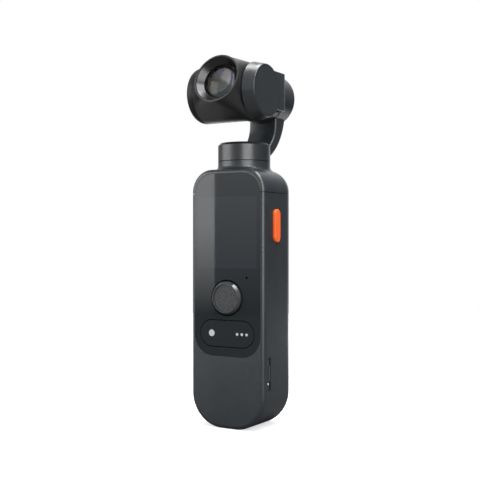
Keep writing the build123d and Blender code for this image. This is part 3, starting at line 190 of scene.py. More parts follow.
class SideSettings(bpy.types.PropertyGroup):
    card: colour("Card", "Plastic of the memory card", (0.07, 0.075, 0.078))
    light: colour("Status light", "Milky end of the light pipe", (0.85, 0.86, 0.86))
    port: colour("Port", "Sheet steel of the charging port", (0.42, 0.42, 0.44))
    insert: colour("Insert", "Turned steel of the tripod insert", (0.5, 0.49, 0.47))
    dome: length("Light's dome", "Height of the light pipe's domed end", 0.08 * MM)
    edge_foot: length("Edge's foot", "Height of the card edge's lower end", 17.6 * MM)
    edge_top: length("Edge's top", "Height of the card edge's upper end", 23 * MM)
    edge_proud: length("Edge's rise", "How far the edge's ribs stand out", 0.55 * MM)
    edge_bevel: length("Edge's bevel", "Bevel on the edge and its ribs", 0.05 * MM)


class ThreadSettings(bpy.types.PropertyGroup):
    pitch: length("Thread pitch", "Pitch of the tripod thread, twenty turns to the inch", 1.27 * MM)
    crest: length("Crest radius", "Radius at the thread's crests", 2.6 * MM)
    root: length("Root radius", "Radius at the thread's roots", 3.2 * MM)
    depth: length("Thread depth", "Depth of the threaded hole", 6.5 * MM)


class LensSettings(bpy.types.PropertyGroup):
    trim: colour("Trim ring", "Black-plated bevel round the lens", (0.075, 0.075, 0.078))
    black: colour("Lens parts", "Blackened parts behind the front lens", (0.004, 0.004, 0.0045))
    film: number("Coating", "Thickness of the front lens's coating in nanometres", 100)
    tint: colour("Inner coating", "Grey-green coating of the inner lenses", (0.040, 0.062, 0.062))
    # The violet over the grey-green tint is a painted reflection of the overhead light, not a colour of the
    # coating. Its start, end and unevenness place that painted reflection.
    painted_violet_reflection: colour("Painted violet reflection", "Painted reflection of the overhead light, violet, towards the upper edge", (0.12, 0.13, 0.19))
    painted_violet_reflection_start: length("Violet's start", "Height over the lens's middle", 1.2 * MM)
    painted_violet_reflection_end: length("Violet's end", "Height over the lens's middle", 4.2 * MM)
    painted_reflection_unevenness: length("Unevenness", "How far the painted reflection's edge strays", 0.4 * MM)


class InsideSettings(bpy.types.PropertyGroup):
    plastic: colour("Inner plastic", "Black plastic of the small inner parts", (0.02, 0.02, 0.021))
    board: colour("Boards", "Solder mask of the circuit boards", (0.012, 0.07, 0.035))
    alloy: colour("Alloy", "Die-cast chassis and motor bases", (0.45, 0.46, 0.47))
    wrap: colour("Battery wrap", "Grey wrap of the battery", (0.11, 0.115, 0.12))
    steel: colour("Steel", "Machined and formed steel", (0.55, 0.55, 0.56))
    copper: colour("Coils", "Varnished copper of the motors", (0.55, 0.23, 0.09))
    magnet: colour("Magnets", "Nickel plate of the magnets", (0.30, 0.30, 0.31))


class StageSettings(bpy.types.PropertyGroup):
    azimuth: angle("Azimuth", "Camera's turn round the object", 31)
    distance: length("Distance", "Camera's distance from the pan axis", 329.7 * MM)
    aside: length("Aside", "Camera's step to the left", 1.54 * MM)
    eye: length("Eye height", "Camera's height above the floor", 67.18 * MM)
    lens: number("Lens", "Camera's focal length", 67.5, unit="CAMERA")
    floor: colour("Floor", "Pale floor", (0.82, 0.82, 0.82))
    floor_radius: length("Floor radius", "Radius of the round floor", 500 * MM)
    floor_gap: length("Floor gap", "Gap between the floor and the camera's foot", 0.05 * MM)
    lamps: length("Lamps", "Distance of the lamps from the pan axis", 900 * MM)


SETTINGS = {
    "casing_settings": CasingSettings,
    "head_settings": HeadSettings,
    "panel_settings": PanelSettings,
    "key_settings": KeySettings,
    "stick_settings": StickSettings,
    "side_settings": SideSettings,
    "thread_settings": ThreadSettings,
    "lens_settings": LensSettings,
    "inside_settings": InsideSettings,
    "stage_settings": StageSettings,
}


# Finishes
class Net:
    """A node tree that is put together one node at a time."""

    def __init__(self, tree):
        self.nodes, self.links = tree.nodes, tree.links

    def add(self, kind, **inputs):
        """A new node with its inputs set or linked."""
        node = self.nodes.new("ShaderNode" + kind)
        for name, value in inputs.items():
            self.put(node.inputs[name.replace("_", " ")], value)
        return node

    def put(self, socket, value):
        """Links an output to a socket, or sets the socket's own value."""
        if isinstance(value, bpy.types.NodeSocket):
            self.links.new(value, socket)
        else:
            socket.default_value = value

    def math(self, operation, first, second):
        """The outcome of one sum on two numbers."""
        node = self.nodes.new("ShaderNodeMath")
        node.operation = operation
        self.put(node.inputs[0], first)
        self.put(node.inputs[1], second)
        return node.outputs[0]

    def ramp(self, value, start, end, low, high):
        """A number or a colour that goes from low to high as value goes from start to end."""
        node = self.nodes.new("ShaderNodeMapRange")
        if not isinstance(low, (tuple, list)):
            plain = {"Value": value, "From Min": start, "From Max": end, "To Min": low, "To Max": high}
            for name, setting in plain.items():
                self.put(node.inputs[name], setting)
            return node.outputs["Result"]
        node.data_type = "FLOAT_VECTOR"
        sockets = {socket.identifier: socket for socket in node.inputs}
        self.put(sockets["Vector"], value)
        self.put(sockets["From_Min_FLOAT3"], (start,) * 3)
        self.put(sockets["From_Max_FLOAT3"], (end,) * 3)
        self.put(sockets["To_Min_FLOAT3"], low)
        self.put(sockets["To_Max_FLOAT3"], high)
        return node.outputs["Vector"]

    def vary(self, noise, low, high):
        """A number or a colour that noise varies between low and high."""
        return self.ramp(noise, NOISE_LOW, NOISE_HIGH, low, high)


class Finish(Net):
    """A procedural material round one shader."""

    def __init__(self, name):
        self.material = bpy.data.materials.new(name)
        self.material.use_nodes = True
        super().__init__(self.material.node_tree)
        self.shader = self.nodes["Principled BSDF"]
        self.place = self.add("TexCoord").outputs["Object"]

    def set(self, **values):
        """Sets or links the shader's own sockets."""
        for name, value in values.items():
            self.put(self.shader.inputs[name.replace("_", " ")], value)

    def noise(self, size, detail=2.0, stretch=(1, 1, 1)):
        """Noise whose lumps are about as large as size, in metres."""
        scaled = self.add("Mapping", Vector=self.place, Scale=[factor / size for factor in stretch])
        return self.add("TexNoise", Vector=scaled.outputs[0], Scale=1, Detail=detail).outputs["Fac"]

    def bump(self, height, depth):
        """Relief of a depth in metres."""
        return self.add("Bump", Height=height, Distance=depth).outputs[0]


def moulded(name, tone, roughness, grain, depth, specular=0.5, mottle=0.08):
    """Moulded plastic or painted casting: a fine grain, and tone and gloss that vary a little."""
    finish = Finish(name)
    dark = [channel * (1 - mottle) for channel in tone]
    light = [channel * (1 + mottle) for channel in tone]
    gloss = finish.noise(GLOSS_SIZE, detail=4)
    finish.set(
        Base_Color=finish.vary(finish.noise(MOTTLE_SIZE), dark, light),
        Roughness=finish.vary(gloss, roughness - GLOSS_CHANGE, roughness + GLOSS_CHANGE),
        Normal=finish.bump(finish.noise(grain), depth),
        Specular_IOR_Level=specular,
    )
    return finish.material


def metal(name, tone, roughness, stretch=(1, 1, 1), depth=0.002 * MM):
    """Bare or plated metal with fine turning marks."""
    finish = Finish(name)
    marks = finish.noise(MARK_SIZE, detail=3, stretch=stretch)
    finish.set(
        Base_Color=finish.vary(marks, [MARK_SHADE * channel for channel in tone], list(tone)),
        Roughness=finish.vary(marks, roughness, roughness + MARK_GLOSS),
        Normal=finish.bump(marks, depth),
        Metallic=1.0,
    )
    return finish.material


# Meshes
def dress(material, *nodes):
    """Gives CAD nodes their finish, with smooth shading over their curved faces."""
    for node in nodes:
        piece = frame["nodes"][node]
        for material_slot in piece.material_slots:
            material_slot.material = material
        soften(piece)


def soften(piece, sharp_edge=SHARP_EDGE):
    """Smooth shading that keeps the sharp edges."""
    for polygon in piece.data.polygons:
        polygon.use_smooth = True
    weld = piece.modifiers.new("join faces", "WELD")
    weld.merge_threshold = WELD_REACH
    split = piece.modifiers.new("sharp edges", "EDGE_SPLIT")
    split.split_angle = radians(sharp_edge)


def cut(piece, *tools, operation="DIFFERENCE"):
    """Cuts a piece with each tool for good, and clears the tools away."""
    for tool in tools:
        boolean = piece.modifiers.new("cut", "BOOLEAN")
        boolean.operation = operation
        boolean.object = tool
    evaluated = piece.evaluated_get(bpy.context.evaluated_depsgraph_get())
    mesh = bpy.data.meshes.new_from_object(evaluated)
    piece.modifiers.clear()
    piece.data = mesh
    for tool in tools:
        bpy.data.objects.remove(tool)


def loose(name, builder):
    """A bare object made of what a mesh builder holds."""
    mesh = bpy.data.meshes.new(name)
    bmesh.ops.recalc_face_normals(builder, faces=builder.faces)
    builder.to_mesh(mesh)
    builder.free()
    piece = bpy.data.objects.new(name, mesh)
    bpy.context.scene.collection.objects.link(piece)
    return piece


def new_verts(made):
    """The corners among what a mesh step made."""
    return [part for part in made["geom"] if isinstance(part, bmesh.types.BMVert)]


def ring_points(centre, across, up, radius, count):
    """Points of a circle in the plane of two directions."""
    turns = [tau * step / count for step in range(count)]
    return [centre + radius * (cos(turn) * across + sin(turn) * up) for turn in turns]


def skin(builder, rings):
    """Faces from each ring of corners to the next, and a cap on the first and the last."""
    for first, second in zip(rings, rings[1:]):
        count = len(first)
        for step in range(count):
            following = (step + 1) % count
            builder.faces.new((first[step], first[following], second[following], second[step]))
    builder.faces.new(rings[0])
    builder.faces.new(rings[-1])


def turned(name, origin, axis, profile, count=ROUND_POINTS):
    """A solid turned round an axis from pairs of radius and distance along it, open ends capped."""
    axis = axis.normalized()
    across = axis.orthogonal().normalized()
    up = axis.cross(across)
    builder = bmesh.new()
    rings = []
    for radius, along in profile:
        points = ring_points(origin + along * axis, across, up, radius, count)
        rings.append([builder.verts.new(point) for point in points])
    skin(builder, rings)
    return loose(name, builder)


def rod(name, start, end, radius):
    """A round rod from one point to another."""
    return turned(name, start, end - start, [(radius, 0), (radius, (end - start).length)])


def add_block(builder, size, place):
    """An oblong block in a mesh that is being built."""
    corners = bmesh.ops.create_cube(builder, size=1)["verts"]
    bmesh.ops.scale(builder, vec=size, verts=corners)
    bmesh.ops.translate(builder, vec=place, verts=corners)


def finish_solid(piece, material, body, slot_name, *nodes, sharp_edge=SHARP_EDGE):
    """Gives a built solid its finish, its body and the nodes that it stands for."""
    piece.data.materials.clear()
    piece.data.materials.append(material)
    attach(piece, body)
    if nodes:
        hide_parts(*nodes)
    soften(piece, sharp_edge)


# Pieces
class DressCasings(bpy.types.Operator):
    """Matte grain on the grip and the head's cap, satin on the gimbal"""

    bl_idname = "camera.dress_casings"
    bl_label = "Casings"

    def execute(self, context):
        casing = context.scene.casing_settings
        grip = moulded(
            "grip_plastic", casing.grip, roughness=0.33, grain=casing.grain, depth=0.0015 * MM, specular=0.8
        )
        gimbal = moulded(
            "gimbal_paint", casing.gimbal, roughness=0.32, grain=casing.grain, depth=0.001 * MM, specular=0.9
        )
        cap = moulded(
            "head_cap_paint", casing.cap, roughness=0.42, grain=casing.grain, depth=0.001 * MM, specular=0.3
        )
        dress(grip, "grip_shell", "shoulder_cap")
        dress(gimbal, "yaw_arm", "roll_bracket", "roll_motor_cap", "tilt_motor_cap")
        dress(cap, "head_cap")
        return {"FINISHED"}


class BuildHead(bpy.types.Operator):
    """The head's smooth shell, ruled straight between the barrel's mouth and the ends of the drum"""

    bl_idname = "camera.build_head"
    bl_label = "Head shell"

    mouth_points = 128
    drum_points = 144
    edge_steps = 4
    flat_face = 0.999  # cosine between the mouth's face and the lens's direction
    mouth_reach = 1.01  # share of the barrel's radius that its own corners keep within
    smooth_edge = 50  # degrees, so that smooth shading goes over the shell's ruled faces
    shaft_depth = 3 * MM  # depth of the hole for the tilt shaft

    def execute(self, context):
        head = context.scene.head_settings
        pitch = exact(head.pitch)
        ahead = Vector((0, -cos(pitch), sin(pitch)))
        up = Vector((0, sin(pitch), cos(pitch)))
        left, right = (TILT_CENTRE + corner[0] * RIGHT for corner in HEAD_BOX)
        radius = half(HEAD_CAP_BOX, 2)
        root = TILT_CENTRE + (head.reach - head.lip) * ahead
        mouth = TILT_CENTRE + head.reach * ahead
        points = ring_points(root, RIGHT, up, head.barrel, self.mouth_points)
        points += ring_points(left, ahead, up, radius, self.drum_points)
        for step in range(self.edge_steps + 1):
            turn = radians(90 * step / self.edge_steps)
            shoulder = right - head.edge * (1 - sin(turn)) * RIGHT
            rounded = radius - head.edge * (1 - cos(turn))
            points += ring_points(shoulder, ahead, up, rounded, self.drum_points)
        shell = self.wrap(head, points, ahead, root, mouth)
        outside = mouth + OVERSHOOT * ahead
        cut(
            shell,
            rod("inside", left - OVERSHOOT * RIGHT, right - head.end_wall * RIGHT, radius - head.wall),
            rod("bore", TILT_CENTRE, outside, head.bore),
            rod("seat", mouth - head.seat_depth * ahead, outside, head.seat),
            rod("shaft", right - self.shaft_depth * RIGHT, right + OVERSHOOT * RIGHT, head.shaft),
        )
        casing = context.scene.casing_settings
        paint = moulded(
            "head_paint", casing.head, roughness=0.32, grain=casing.grain, depth=0.001 * MM, specular=1.0
        )
        finish_solid(
            shell, paint, "camera_head", "head_casing", "head_shell", sharp_edge=self.smooth_edge
        )
        return {"FINISHED"}

    def wrap(self, head, points, ahead, root, mouth):
        """A skin drawn tight round the points, with the barrel's lip drawn out from its root."""
        builder = bmesh.new()
        for point in points:
            builder.verts.new(point)
        bmesh.ops.convex_hull(builder, input=builder.verts)
        reach = self.mouth_reach * head.barrel
        front = [
            face for face in builder.faces
            if face.normal.dot(ahead) > self.flat_face
            and all((vert.co - root).length < reach for vert in face.verts)
        ]
        moved = bmesh.ops.extrude_face_region(builder, geom=front)
        bmesh.ops.delete(builder, geom=front, context="FACES")
        bmesh.ops.translate(builder, vec=mouth - root, verts=new_verts(moved))
        return loose("head_casing_shell", builder)


class DressPanel(bpy.types.Operator):
    """Dark glass with the display showing faintly behind it"""

    bl_idname = "camera.dress_panel"
    bl_label = "Front panel"

    def execute(self, context):
        panel = context.scene.panel_settings
        glass = Finish("panel_glass_black")
        window = self.window(glass, panel.blur)
        glass.set(
            Base_Color=glass.ramp(window, 0, 1, list(panel.glass), list(panel.window)),
            Roughness=glass.vary(glass.noise(9 * MM, detail=3), 0.0, 0.03),
            IOR=1.52,
        )
        dress(glass.material, "front_glass")
        display = Finish("display_black")
        display.set(
            Base_Color=display.vary(display.noise(0.1 * MM), list(panel.gaps), list(panel.cells)),
            Roughness=0.2,
        )
        dress(display.material, "display_panel")
        return {"FINISHED"}

    def window(self, glass, blur):
        """1 where the display lies behind the glass, with a soft edge."""
        place = glass.add("SeparateXYZ", Vector=glass.place).outputs
        inside = 1
        for axis, name in ((0, "X"), (2, "Z")):
            reach = half(DISPLAY_BOX, axis)
            offset = glass.math("SUBTRACT", place[name], middle(DISPLAY_BOX, axis))
            away = glass.math("ABSOLUTE", offset, 0)
            within = glass.ramp(away, reach - blur, reach + blur, 1, 0)
            inside = glass.math("MULTIPLY", inside, within)
        return inside


class DressKeys(bpy.types.Operator):
    """The pill-shaped key with its dots, and the orange record button"""

    bl_idname = "camera.dress_keys"
    bl_label = "Keys"

    def execute(self, context):
        keys = context.scene.key_settings
        print_tone = context.scene.panel_settings.glass
        key = moulded(
            "key_gloss", print_tone, roughness=0.12, grain=0.2 * MM, depth=0.0004 * MM, mottle=0.05
        )
        marks = moulded("key_mark_paint", keys.marks, roughness=0.5, grain=0.1 * MM, depth=0.001 * MM)
        button = moulded(
            "record_orange",
            keys.button,
            roughness=0.42,
            grain=0.14 * MM,
            depth=0.002 * MM,
            specular=0.4,
            mottle=0.04,
        )
        dress(key, "function_key")
        dress(marks, "key_dots")
        dress(button, "record_button")
        return {"FINISHED"}


class DressStick(bpy.types.Operator):
    """The stick's satin cap with its hollow, and the knurled pad in it"""

    bl_idname = "camera.dress_stick"
    bl_label = "Stick"

    knurl_margin = 3  # rows of points beyond the pad's edge
    knurl_edge = 6  # degrees, so that the knurl's faces all stay apart

    def execute(self, context):
        stick = context.scene.stick_settings
        cap = moulded(
            "stick_satin", stick.cap, roughness=0.2, grain=0.1 * MM, depth=0.0005 * MM, specular=1.0
        )
        front = Vector((middle(STICK_BOX, 0), STICK_BOX[0][1], middle(STICK_BOX, 2)))
        floor = front + stick.dish_depth * BACK
        dished = bpy.data.objects.new("stick_dished_cap", frame["nodes"]["stick_cap"].data.copy())
        context.scene.collection.objects.link(dished)
        cut(dished, rod("hollow", front - OVERSHOOT * BACK, floor, stick.dish_radius))
        finish_solid(dished, cap, "stick_cap", "stick_metal", "stick_cap")
        rubber = moulded("stick_pad", stick.pad, roughness=0.42, grain=0.12 * MM, depth=0.002 * MM)
        pad = self.knurl(stick, floor)
        finish_solid(pad, rubber, "stick_cap", "stick_metal", sharp_edge=self.knurl_edge)
        return {"FINISHED"}

    def knurl(self, stick, floor):
        """A round pad of small pyramids on a slightly domed disc."""
        radius = stick.dish_radius - stick.pad_gap
        step = stick.pitch / 2
        count = int(radius / step) + self.knurl_margin
        along = Vector((1, 0, 1)).normalized()
        aside = Vector((-1, 0, 1)).normalized()
        base = stick.dish_depth - stick.depth - stick.crown
        builder = bmesh.new()
        sheet = {}
        for row in range(-count, count + 1):
            for column in range(-count, count + 1):
                flat = row * step * along + column * step * aside
                rise = base + stick.crown * max(0, 1 - (flat.length / radius) ** 2)
                rise += stick.depth * (row % 2) * (column % 2)
                sheet[row, column] = builder.verts.new(floor + flat - rise * BACK)
        for row in range(-count, count):
            for column in range(-count, count):
                corners = (
                    (row, column), (row + 1, column), (row + 1, column + 1), (row, column + 1)
                )
                builder.faces.new([sheet[corner] for corner in corners])
        skirt = bmesh.ops.extrude_edge_only(builder, edges=self.border(builder))
        for vert in new_verts(skirt):
            vert.co.y = floor.y + OVERSHOOT
        bmesh.ops.contextual_create(builder, geom=self.border(builder))
        pad = loose("stick_knurled_pad", builder)
        disc = rod("disc", floor - 2 * OVERSHOOT * BACK, floor + stick.pad_foot * BACK, radius)
        cut(pad, disc, operation="INTERSECT")
        return pad

    def border(self, builder):
        """The open edges of a sheet."""
        return [edge for edge in builder.edges if edge.is_boundary]


class DressSideParts(bpy.types.Operator):
    """The card and its ribbed edge, the light and its dome, the port and the tripod insert"""

    bl_idname = "camera.dress_side_parts"
    bl_label = "Side parts"

    dome_turns = (0, 25, 50, 75)  # degrees up the light's dome
    dome_points = 32
    ribs = 9
    rib_share = 0.62  # a rib's share of the pitch
    edge_share = 0.9  # the edge's share of the card's thickness
    base_share = 0.75  # the height of the base between the ribs, as a share of theirs
    thread_points = 64
    thread_rows = 8  # rings for each turn of the thread
    turning_marks = (1, 1, 8)  # how much finer the marks are along each axis

    def execute(self, context):
        side = context.scene.side_settings
        card = moulded("card_black", side.card, roughness=0.45, grain=0.1 * MM, depth=0.001 * MM)
        light = moulded(
            "light_pipe_white", side.light, roughness=0.3, grain=0.1 * MM, depth=0.0005 * MM
        )
        port = metal("port_shell_steel", side.port, roughness=0.3, stretch=self.turning_marks)
        insert = metal("insert_steel_turned", side.insert, roughness=0.32, stretch=self.turning_marks)
        dress(card, "memory_card")
        dress(light, "status_light")
        dress(port, "charging_port")
        self.light_lens(side, light)
        self.card_edge(side, card)
        self.thread_insert(context.scene.thread_settings, insert)
        return {"FINISHED"}

    def light_lens(self, side, material):
        """The domed end of the light pipe, flush with the casing."""
        start = Vector((LIGHT_BOX[1][0], middle(LIGHT_BOX, 1), middle(LIGHT_BOX, 2)))
        radius = half(LIGHT_BOX, 1)
        foot = GRIP_BOX[1][0] - start.x - side.dome
        profile = [(radius, 0)]
        for turn in map(radians, self.dome_turns):
            profile.append((radius * cos(turn), foot + side.dome * sin(turn)))
        lens = turned("status_light_lens", start, RIGHT, profile, self.dome_points)
        finish_solid(lens, material, "grip", "light_pipe")

    def card_edge(self, side, material):
        """The ribbed edge by which the card is pulled."""
        face, centre = CARD_BOX[1][0], middle(CARD_BOX, 1)
        thick = 2 * half(CARD_BOX, 1) * self.edge_share
        tall = side.edge_top - side.edge_foot
        pitch = tall / self.ribs
        proud, base = side.edge_proud, self.base_share * side.edge_proud
        builder = bmesh.new()
        for rib in range(self.ribs):
            height = side.edge_foot + (rib + 0.5) * pitch
            add_block(
                builder, (proud, thick, self.rib_share * pitch), (face + proud / 2, centre, height)
            )
        add_block(
            builder, (base, thick, tall), (face + base / 2, centre, side.edge_foot + tall / 2)
        )
        bmesh.ops.bevel(
            builder, geom=builder.edges[:], offset=side.edge_bevel, segments=2, affect="EDGES"
        )
        edge = loose("card_pull_edge", builder)
        finish_solid(edge, material, "memory_card", "card_plastic")

    def thread_insert(self, thread, material):
        """The foot's insert, with its helical thread cut in the bore."""
        outer = half(INSERT_BOX, 0)
        count = self.thread_points
        rows = int(thread.depth / thread.pitch * self.thread_rows)
        sections = [(2 * half(INSERT_BOX, 2), [outer] * count), (0, [outer] * count)]
        for row in range(rows + 1):
            height = row * thread.depth / rows
            turns = height / thread.pitch
            sections.append((height, [self.groove(thread, turns - step / count) for step in range(count)]))
        builder = bmesh.new()
        rings = []
        for height, radii in sections:
            ring = []
            for step, radius in enumerate(radii):
                turn = tau * step / count
                ring.append(builder.verts.new((radius * cos(turn), radius * sin(turn), height)))
            rings.append(ring)
        skin(builder, rings)
        insert = loose("tripod_threaded_insert", builder)
        finish_solid(insert, material, "grip", "insert_steel", "tripod_insert")

    def groove(self, thread, turns):
        """The thread's radius at a number of turns along it: crest, root and crest again."""
        deep = 1 - abs(2 * (turns % 1) - 1)
        return thread.crest + (thread.root - thread.crest) * deep


class DressLens(bpy.types.Operator):
    """The trim ring, the coated lenses and the black parts round them"""

    bl_idname = "camera.dress_lens"
    bl_label = "Lens"

    painted_reflection_lean = 0.55  # how far the painted violet reflection leans to the right

    def execute(self, context):
        lens = context.scene.lens_settings
        trim = metal("trim_ring_black", lens.trim, roughness=0.2)
        black = moulded(
            "lens_black", lens.black, roughness=0.6, grain=0.1 * MM, depth=0.002 * MM, specular=0.2
        )
        dress(trim, "lens_trim_ring")
        dress(black, "lens_retainer", "lens_holder")
        dress(self.clear_glass(lens), "front_lens")
        dress(self.inner_coating(lens), "inner_lenses")
        return {"FINISHED"}

    def clear_glass(self, lens):
        """Clear glass with a thin coating that tints its reflections."""
        glass = Finish("lens_coated_front")
        glass.set(
            Roughness=glass.vary(glass.noise(2 * MM, detail=3), 0.0, 0.02),
            Transmission_Weight=1.0,
            IOR=1.55,
            Thin_Film_IOR=1.38,
            Thin_Film_Thickness=lens.film,
        )
        return glass.material

    def inner_coating(self, lens):
        """Dark grey-green coated glass with a painted violet reflection of the overhead light towards its
        upper right.
        """
        inner = Finish("lens_coating_and_painted_reflection")
        place = inner.add("SeparateXYZ", Vector=inner.place).outputs
        # Painted reflection: violet where the overhead light would show, towards the upper right, with a
        # noisy edge.
        rise = inner.math("ADD", inner.math("MULTIPLY", place["X"], self.painted_reflection_lean), place["Z"])
        painted_reflection_unevenness = inner.math("MULTIPLY", inner.noise(0.8 * MM, detail=3), lens.painted_reflection_unevenness)
        centre = middle(INNER_LENS_BOX, 2)
        inner.set(
            Base_Color=inner.ramp(
                inner.math("ADD", rise, painted_reflection_unevenness),
                centre + lens.painted_violet_reflection_start,
                centre + lens.painted_violet_reflection_end,
                list(lens.tint),
                list(lens.painted_violet_reflection),
            ),
            Roughness=0.2,
            Specular_IOR_Level=0.12,
        )
        return inner.material


class DressInside(bpy.types.Operator):
    """The boards, the battery, the chassis, the motors and the screws"""

    bl_idname = "camera.dress_inside"
    bl_label = "Inside"

    def execute(self, context):
        inside = context.scene.inside_settings
        plastic = moulded(
            "inner_plastic", inside.plastic, roughness=0.5, grain=0.15 * MM, depth=0.002 * MM
        )
        board = moulded("board_green", inside.board, roughness=0.35, grain=0.3 * MM, depth=0.003 * MM)
        wrap = moulded(
            "battery_wrap_grey", inside.wrap, roughness=0.4, grain=0.5 * MM, depth=0.004 * MM
        )
        alloy = metal("chassis_magnesium", inside.alloy, roughness=0.4)
        steel = metal("bright_steel", inside.steel, roughness=0.28)
        copper = metal("coil_varnish", inside.copper, roughness=0.35, stretch=(1, 1, 6))
        magnet = metal("magnet_nickel", inside.magnet, roughness=0.3)
        dress(plastic, "stick_base", "stick_ring", "key_bracket")
        dress(plastic, "key_switches", "record_switch", "microphone")
        dress(board, "main_board", "motion_board", "sensor_board", "image_sensor")
        dress(wrap, "battery")
        dress(alloy, "chassis")
        dress(steel, "card_socket", "processor_shield", "board_screws")
        dress(magnet, "tilt_rotor")
        for motor in MOTORS:
            dress(alloy, f"{motor}_motor_base")
            dress(steel, f"{motor}_shaft", f"{motor}_bearings", f"{motor}_motor_screws")
            dress(copper, f"{motor}_coil_core")
            dress(magnet, f"{motor}_magnet_ring")
        return {"FINISHED"}


# Stage
def bearing(heading, elevation):
    """A direction from a heading off the front towards the right and an elevation, in degrees."""
    heading, elevation = radians(heading), radians(elevation)
    return cos(elevation) * sin(heading), -cos(elevation) * cos(heading), sin(elevation)


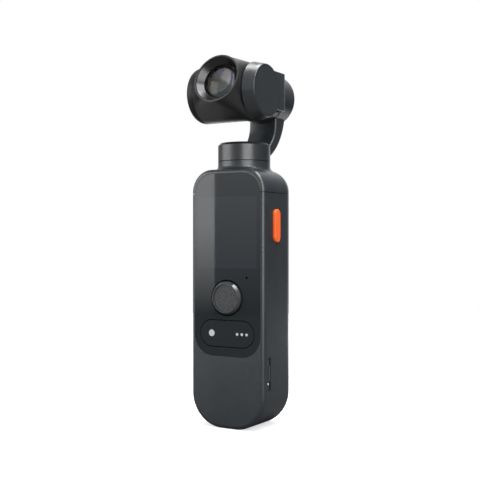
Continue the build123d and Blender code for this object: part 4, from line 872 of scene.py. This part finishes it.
class BuildStage(bpy.types.Operator):
    """The camera, the pale floor, the backdrop and the studio light"""

    bl_idname = "camera.build_stage"
    bl_label = "Stage"

    sensor_width = 36  # millimetres
    nearest = 10 * MM
    white = (1, 1, 1, 1)
    floor_glow = 0.6
    floor_dim = (0.12, 0.12, 0.12, 1)

    def execute(self, context):
        stage = context.scene.stage_settings
        self.set_camera(context, stage)
        self.lay_floor(context, stage)
        self.light_world(context)
        left = self.softbox(context, "left_box", heading=-54.3, foot=-0.06, size=(0.72, 0.75), glow=2.6)
        self.fade_foot(left, dark=-0.04, bright=0.09)
        self.softbox(context, "front_box", heading=45, foot=-0.05, size=(0.66, 0.8), glow=3.7)
        self.softbox(
            context, "key_box", heading=58, foot=-0.16, size=(0.45, 0.5), glow=8.0, elevation=60
        )
        self.softbox(
            context, "top_box", heading=172, foot=-0.16, size=(0.6, 0.6), glow=9.0, elevation=76
        )
        context.scene.view_settings.view_transform = "Standard"
        return {"FINISHED"}

    def set_camera(self, context, stage):
        """The camera at the photograph's angle, level and a little to the left."""
        turn = exact(stage.azimuth)
        ahead = Vector((-sin(turn), cos(turn), 0))
        right = Vector((cos(turn), sin(turn), 0))
        camera = bpy.data.cameras.new("camera")
        camera.lens = stage.lens
        camera.sensor_width = self.sensor_width
        camera.clip_start = self.nearest
        piece = bpy.data.objects.new("camera", camera)
        context.scene.collection.objects.link(piece)
        piece.location = -stage.distance * ahead - stage.aside * right + Vector((0, 0, stage.eye))
        piece.rotation_euler = (radians(90), 0, turn)
        context.scene.camera = piece

    def softbox(self, context, name, heading, foot, size, glow, elevation=0):
        """An oblong lamp that stands upright with its lower edge at foot.

        With an elevation it hangs there instead, and looks down at the object.
        """
        lamp = bpy.data.lights.new(name, "AREA")
        lamp.shape = "RECTANGLE"
        lamp.size, lamp.size_y = size
        lamp.energy = glow * pi * size[0] * size[1]
        piece = bpy.data.objects.new(name, lamp)
        context.scene.collection.objects.link(piece)
        target = Vector((0, 0, foot + size[1] / 2))
        away = context.scene.stage_settings.lamps
        piece.location = target + Vector([away * part for part in bearing(heading, elevation)])
        piece.rotation_euler = (target - piece.location).to_track_quat("-Z", "Y").to_euler()
        return lamp

    def fade_foot(self, lamp, dark, bright):
        """Fades a lamp out from one height down to another."""
        lamp.use_nodes = True
        net = Net(lamp.node_tree)
        place = net.add("SeparateXYZ", Vector=net.add("NewGeometry").outputs["Position"]).outputs
        net.put(net.nodes["Emission"].inputs["Strength"], net.ramp(place["Z"], dark, bright, 0, 1))

    def lay_floor(self, context, stage):
        """A round floor, pale where it is seen and dim where it would light the object's underside."""
        mesh = bpy.data.meshes.new("floor")
        builder = bmesh.new()
        bmesh.ops.create_circle(builder, cap_ends=True, segments=ROUND_POINTS, radius=stage.floor_radius)
        builder.to_mesh(mesh)
        builder.free()
        piece = bpy.data.objects.new("floor", mesh)
        context.scene.collection.objects.link(piece)
        piece.location.z = CAD_BOX[0][2] - stage.floor_gap
        mesh.materials.append(self.floor_finish(stage))

    def floor_finish(self, stage):
        """Pale for the camera, through glass and in what mirrors the floor behind, dim for the rest."""
        material = bpy.data.materials.new("floor_pale")
        material.use_nodes = True
        net = Net(material.node_tree)
        net.nodes.clear()
        path = net.add("LightPath").outputs
        place = net.add("SeparateXYZ", Vector=net.add("TexCoord").outputs["Object"]).outputs
        behind = net.math(
            "MULTIPLY",
            net.ramp(place["Y"], start=0.16, end=0.3, low=0, high=1),
            net.ramp(place["X"], start=0.02, end=0.16, low=1, high=0),
        )
        mirrored = net.math("MULTIPLY", behind, path["Is Glossy Ray"])
        seen = net.math("MAXIMUM", mirrored, path["Is Camera Ray"])
        seen = net.math("MAXIMUM", seen, path["Is Transmission Ray"])
        pale = net.add("BsdfDiffuse", Color=stage.floor[:] + (1,))
        glow = net.add("Emission", Color=self.white, Strength=self.floor_glow)
        dim = net.add("BsdfDiffuse", Color=self.floor_dim)
        lit = net.add("AddShader")
        mix = net.add("MixShader", Fac=seen)
        net.put(lit.inputs[0], pale.outputs[0])
        net.put(lit.inputs[1], glow.outputs[0])
        net.put(mix.inputs[1], dim.outputs[0])
        net.put(mix.inputs[2], lit.outputs[0])
        net.add("OutputMaterial", Surface=mix.outputs[0])
        return material

    def light_world(self, context):
        """White behind the object for what is seen, and a plain soft room for what lights it."""
        world = bpy.data.worlds.new("studio")
        context.scene.world = world
        world.use_nodes = True
        net = Net(world.node_tree)
        net.nodes.clear()
        path = net.add("LightPath").outputs
        direction = net.add("TexCoord").outputs["Generated"]
        height = net.add("SeparateXYZ", Vector=direction).outputs["Z"]
        back_right = self.towards(net, direction, heading=149, elevation=6)
        behind = self.towards(net, direction, heading=-162, elevation=14)
        front_left = self.towards(net, direction, heading=-30, elevation=5)
        room = net.ramp(height, start=-0.14, end=0.12, low=0.07, high=0.42)
        dark_card = net.ramp(back_right, start=0.6, end=0.95, low=1, high=0.35)
        backdrop = net.ramp(behind, start=0.8, end=0.96, low=0, high=1)
        wash = net.math(
            "MULTIPLY",
            net.ramp(front_left, start=0.9, end=0.99, low=0, high=1),
            net.ramp(height, start=-0.09, end=0.12, low=0.1, high=1.2),
        )
        white = net.math("MAXIMUM", backdrop, wash)
        mirrored = net.math("MAXIMUM", net.math("MULTIPLY", room, dark_card), white)
        glossy = net.ramp(path["Is Glossy Ray"], 0, 1, room, mirrored)
        straight = net.math("MAXIMUM", path["Is Camera Ray"], path["Is Transmission Ray"])
        strength = net.ramp(straight, 0, 1, glossy, 1)
        background = net.add("Background", Color=self.white, Strength=strength)
        net.add("OutputWorld", Surface=background.outputs[0])

    def towards(self, net, direction, heading, elevation):
        """How nearly a direction points to a heading and an elevation, 1 at most."""
        product = net.add("VectorMath", Vector=direction)
        product.operation = "DOT_PRODUCT"
        product.inputs[1].default_value = bearing(heading, elevation)
        return product.outputs["Value"]


STEPS = (
    BuildStage,
    DressCasings,
    BuildHead,
    DressPanel,
    DressKeys,
    DressStick,
    DressSideParts,
    DressLens,
    DressInside,
)


class CameraPanel(bpy.types.Panel):
    """Lists the steps that dress the camera"""

    bl_idname = "VIEW3D_PT_pocket_camera"
    bl_label = "Pocket camera"
    bl_space_type = "VIEW_3D"
    bl_region_type = "UI"
    bl_category = "Camera"

    def draw(self, context):
        for step in STEPS:
            self.layout.operator(step.bl_idname)
        for name, group in SETTINGS.items():
            box = self.layout.box()
            for setting in group.__annotations__:
                box.prop(getattr(context.scene, name), setting)


def register():
    for name, group in SETTINGS.items():
        bpy.utils.register_class(group)
        setattr(bpy.types.Scene, name, PointerProperty(type=group))
    for step in STEPS:
        bpy.utils.register_class(step)
    bpy.utils.register_class(CameraPanel)


def unregister():
    bpy.utils.unregister_class(CameraPanel)
    for step in reversed(STEPS):
        bpy.utils.unregister_class(step)
    for name, group in reversed(SETTINGS.items()):
        delattr(bpy.types.Scene, name)
        bpy.utils.unregister_class(group)


def main():
    register()
    bpy.ops.camera.build_stage()
    bpy.ops.camera.dress_casings()
    bpy.ops.camera.build_head()
    bpy.ops.camera.dress_panel()
    bpy.ops.camera.dress_keys()
    bpy.ops.camera.dress_stick()
    bpy.ops.camera.dress_side_parts()
    bpy.ops.camera.dress_lens()
    bpy.ops.camera.dress_inside()


if __name__ == "__main__":
    main()
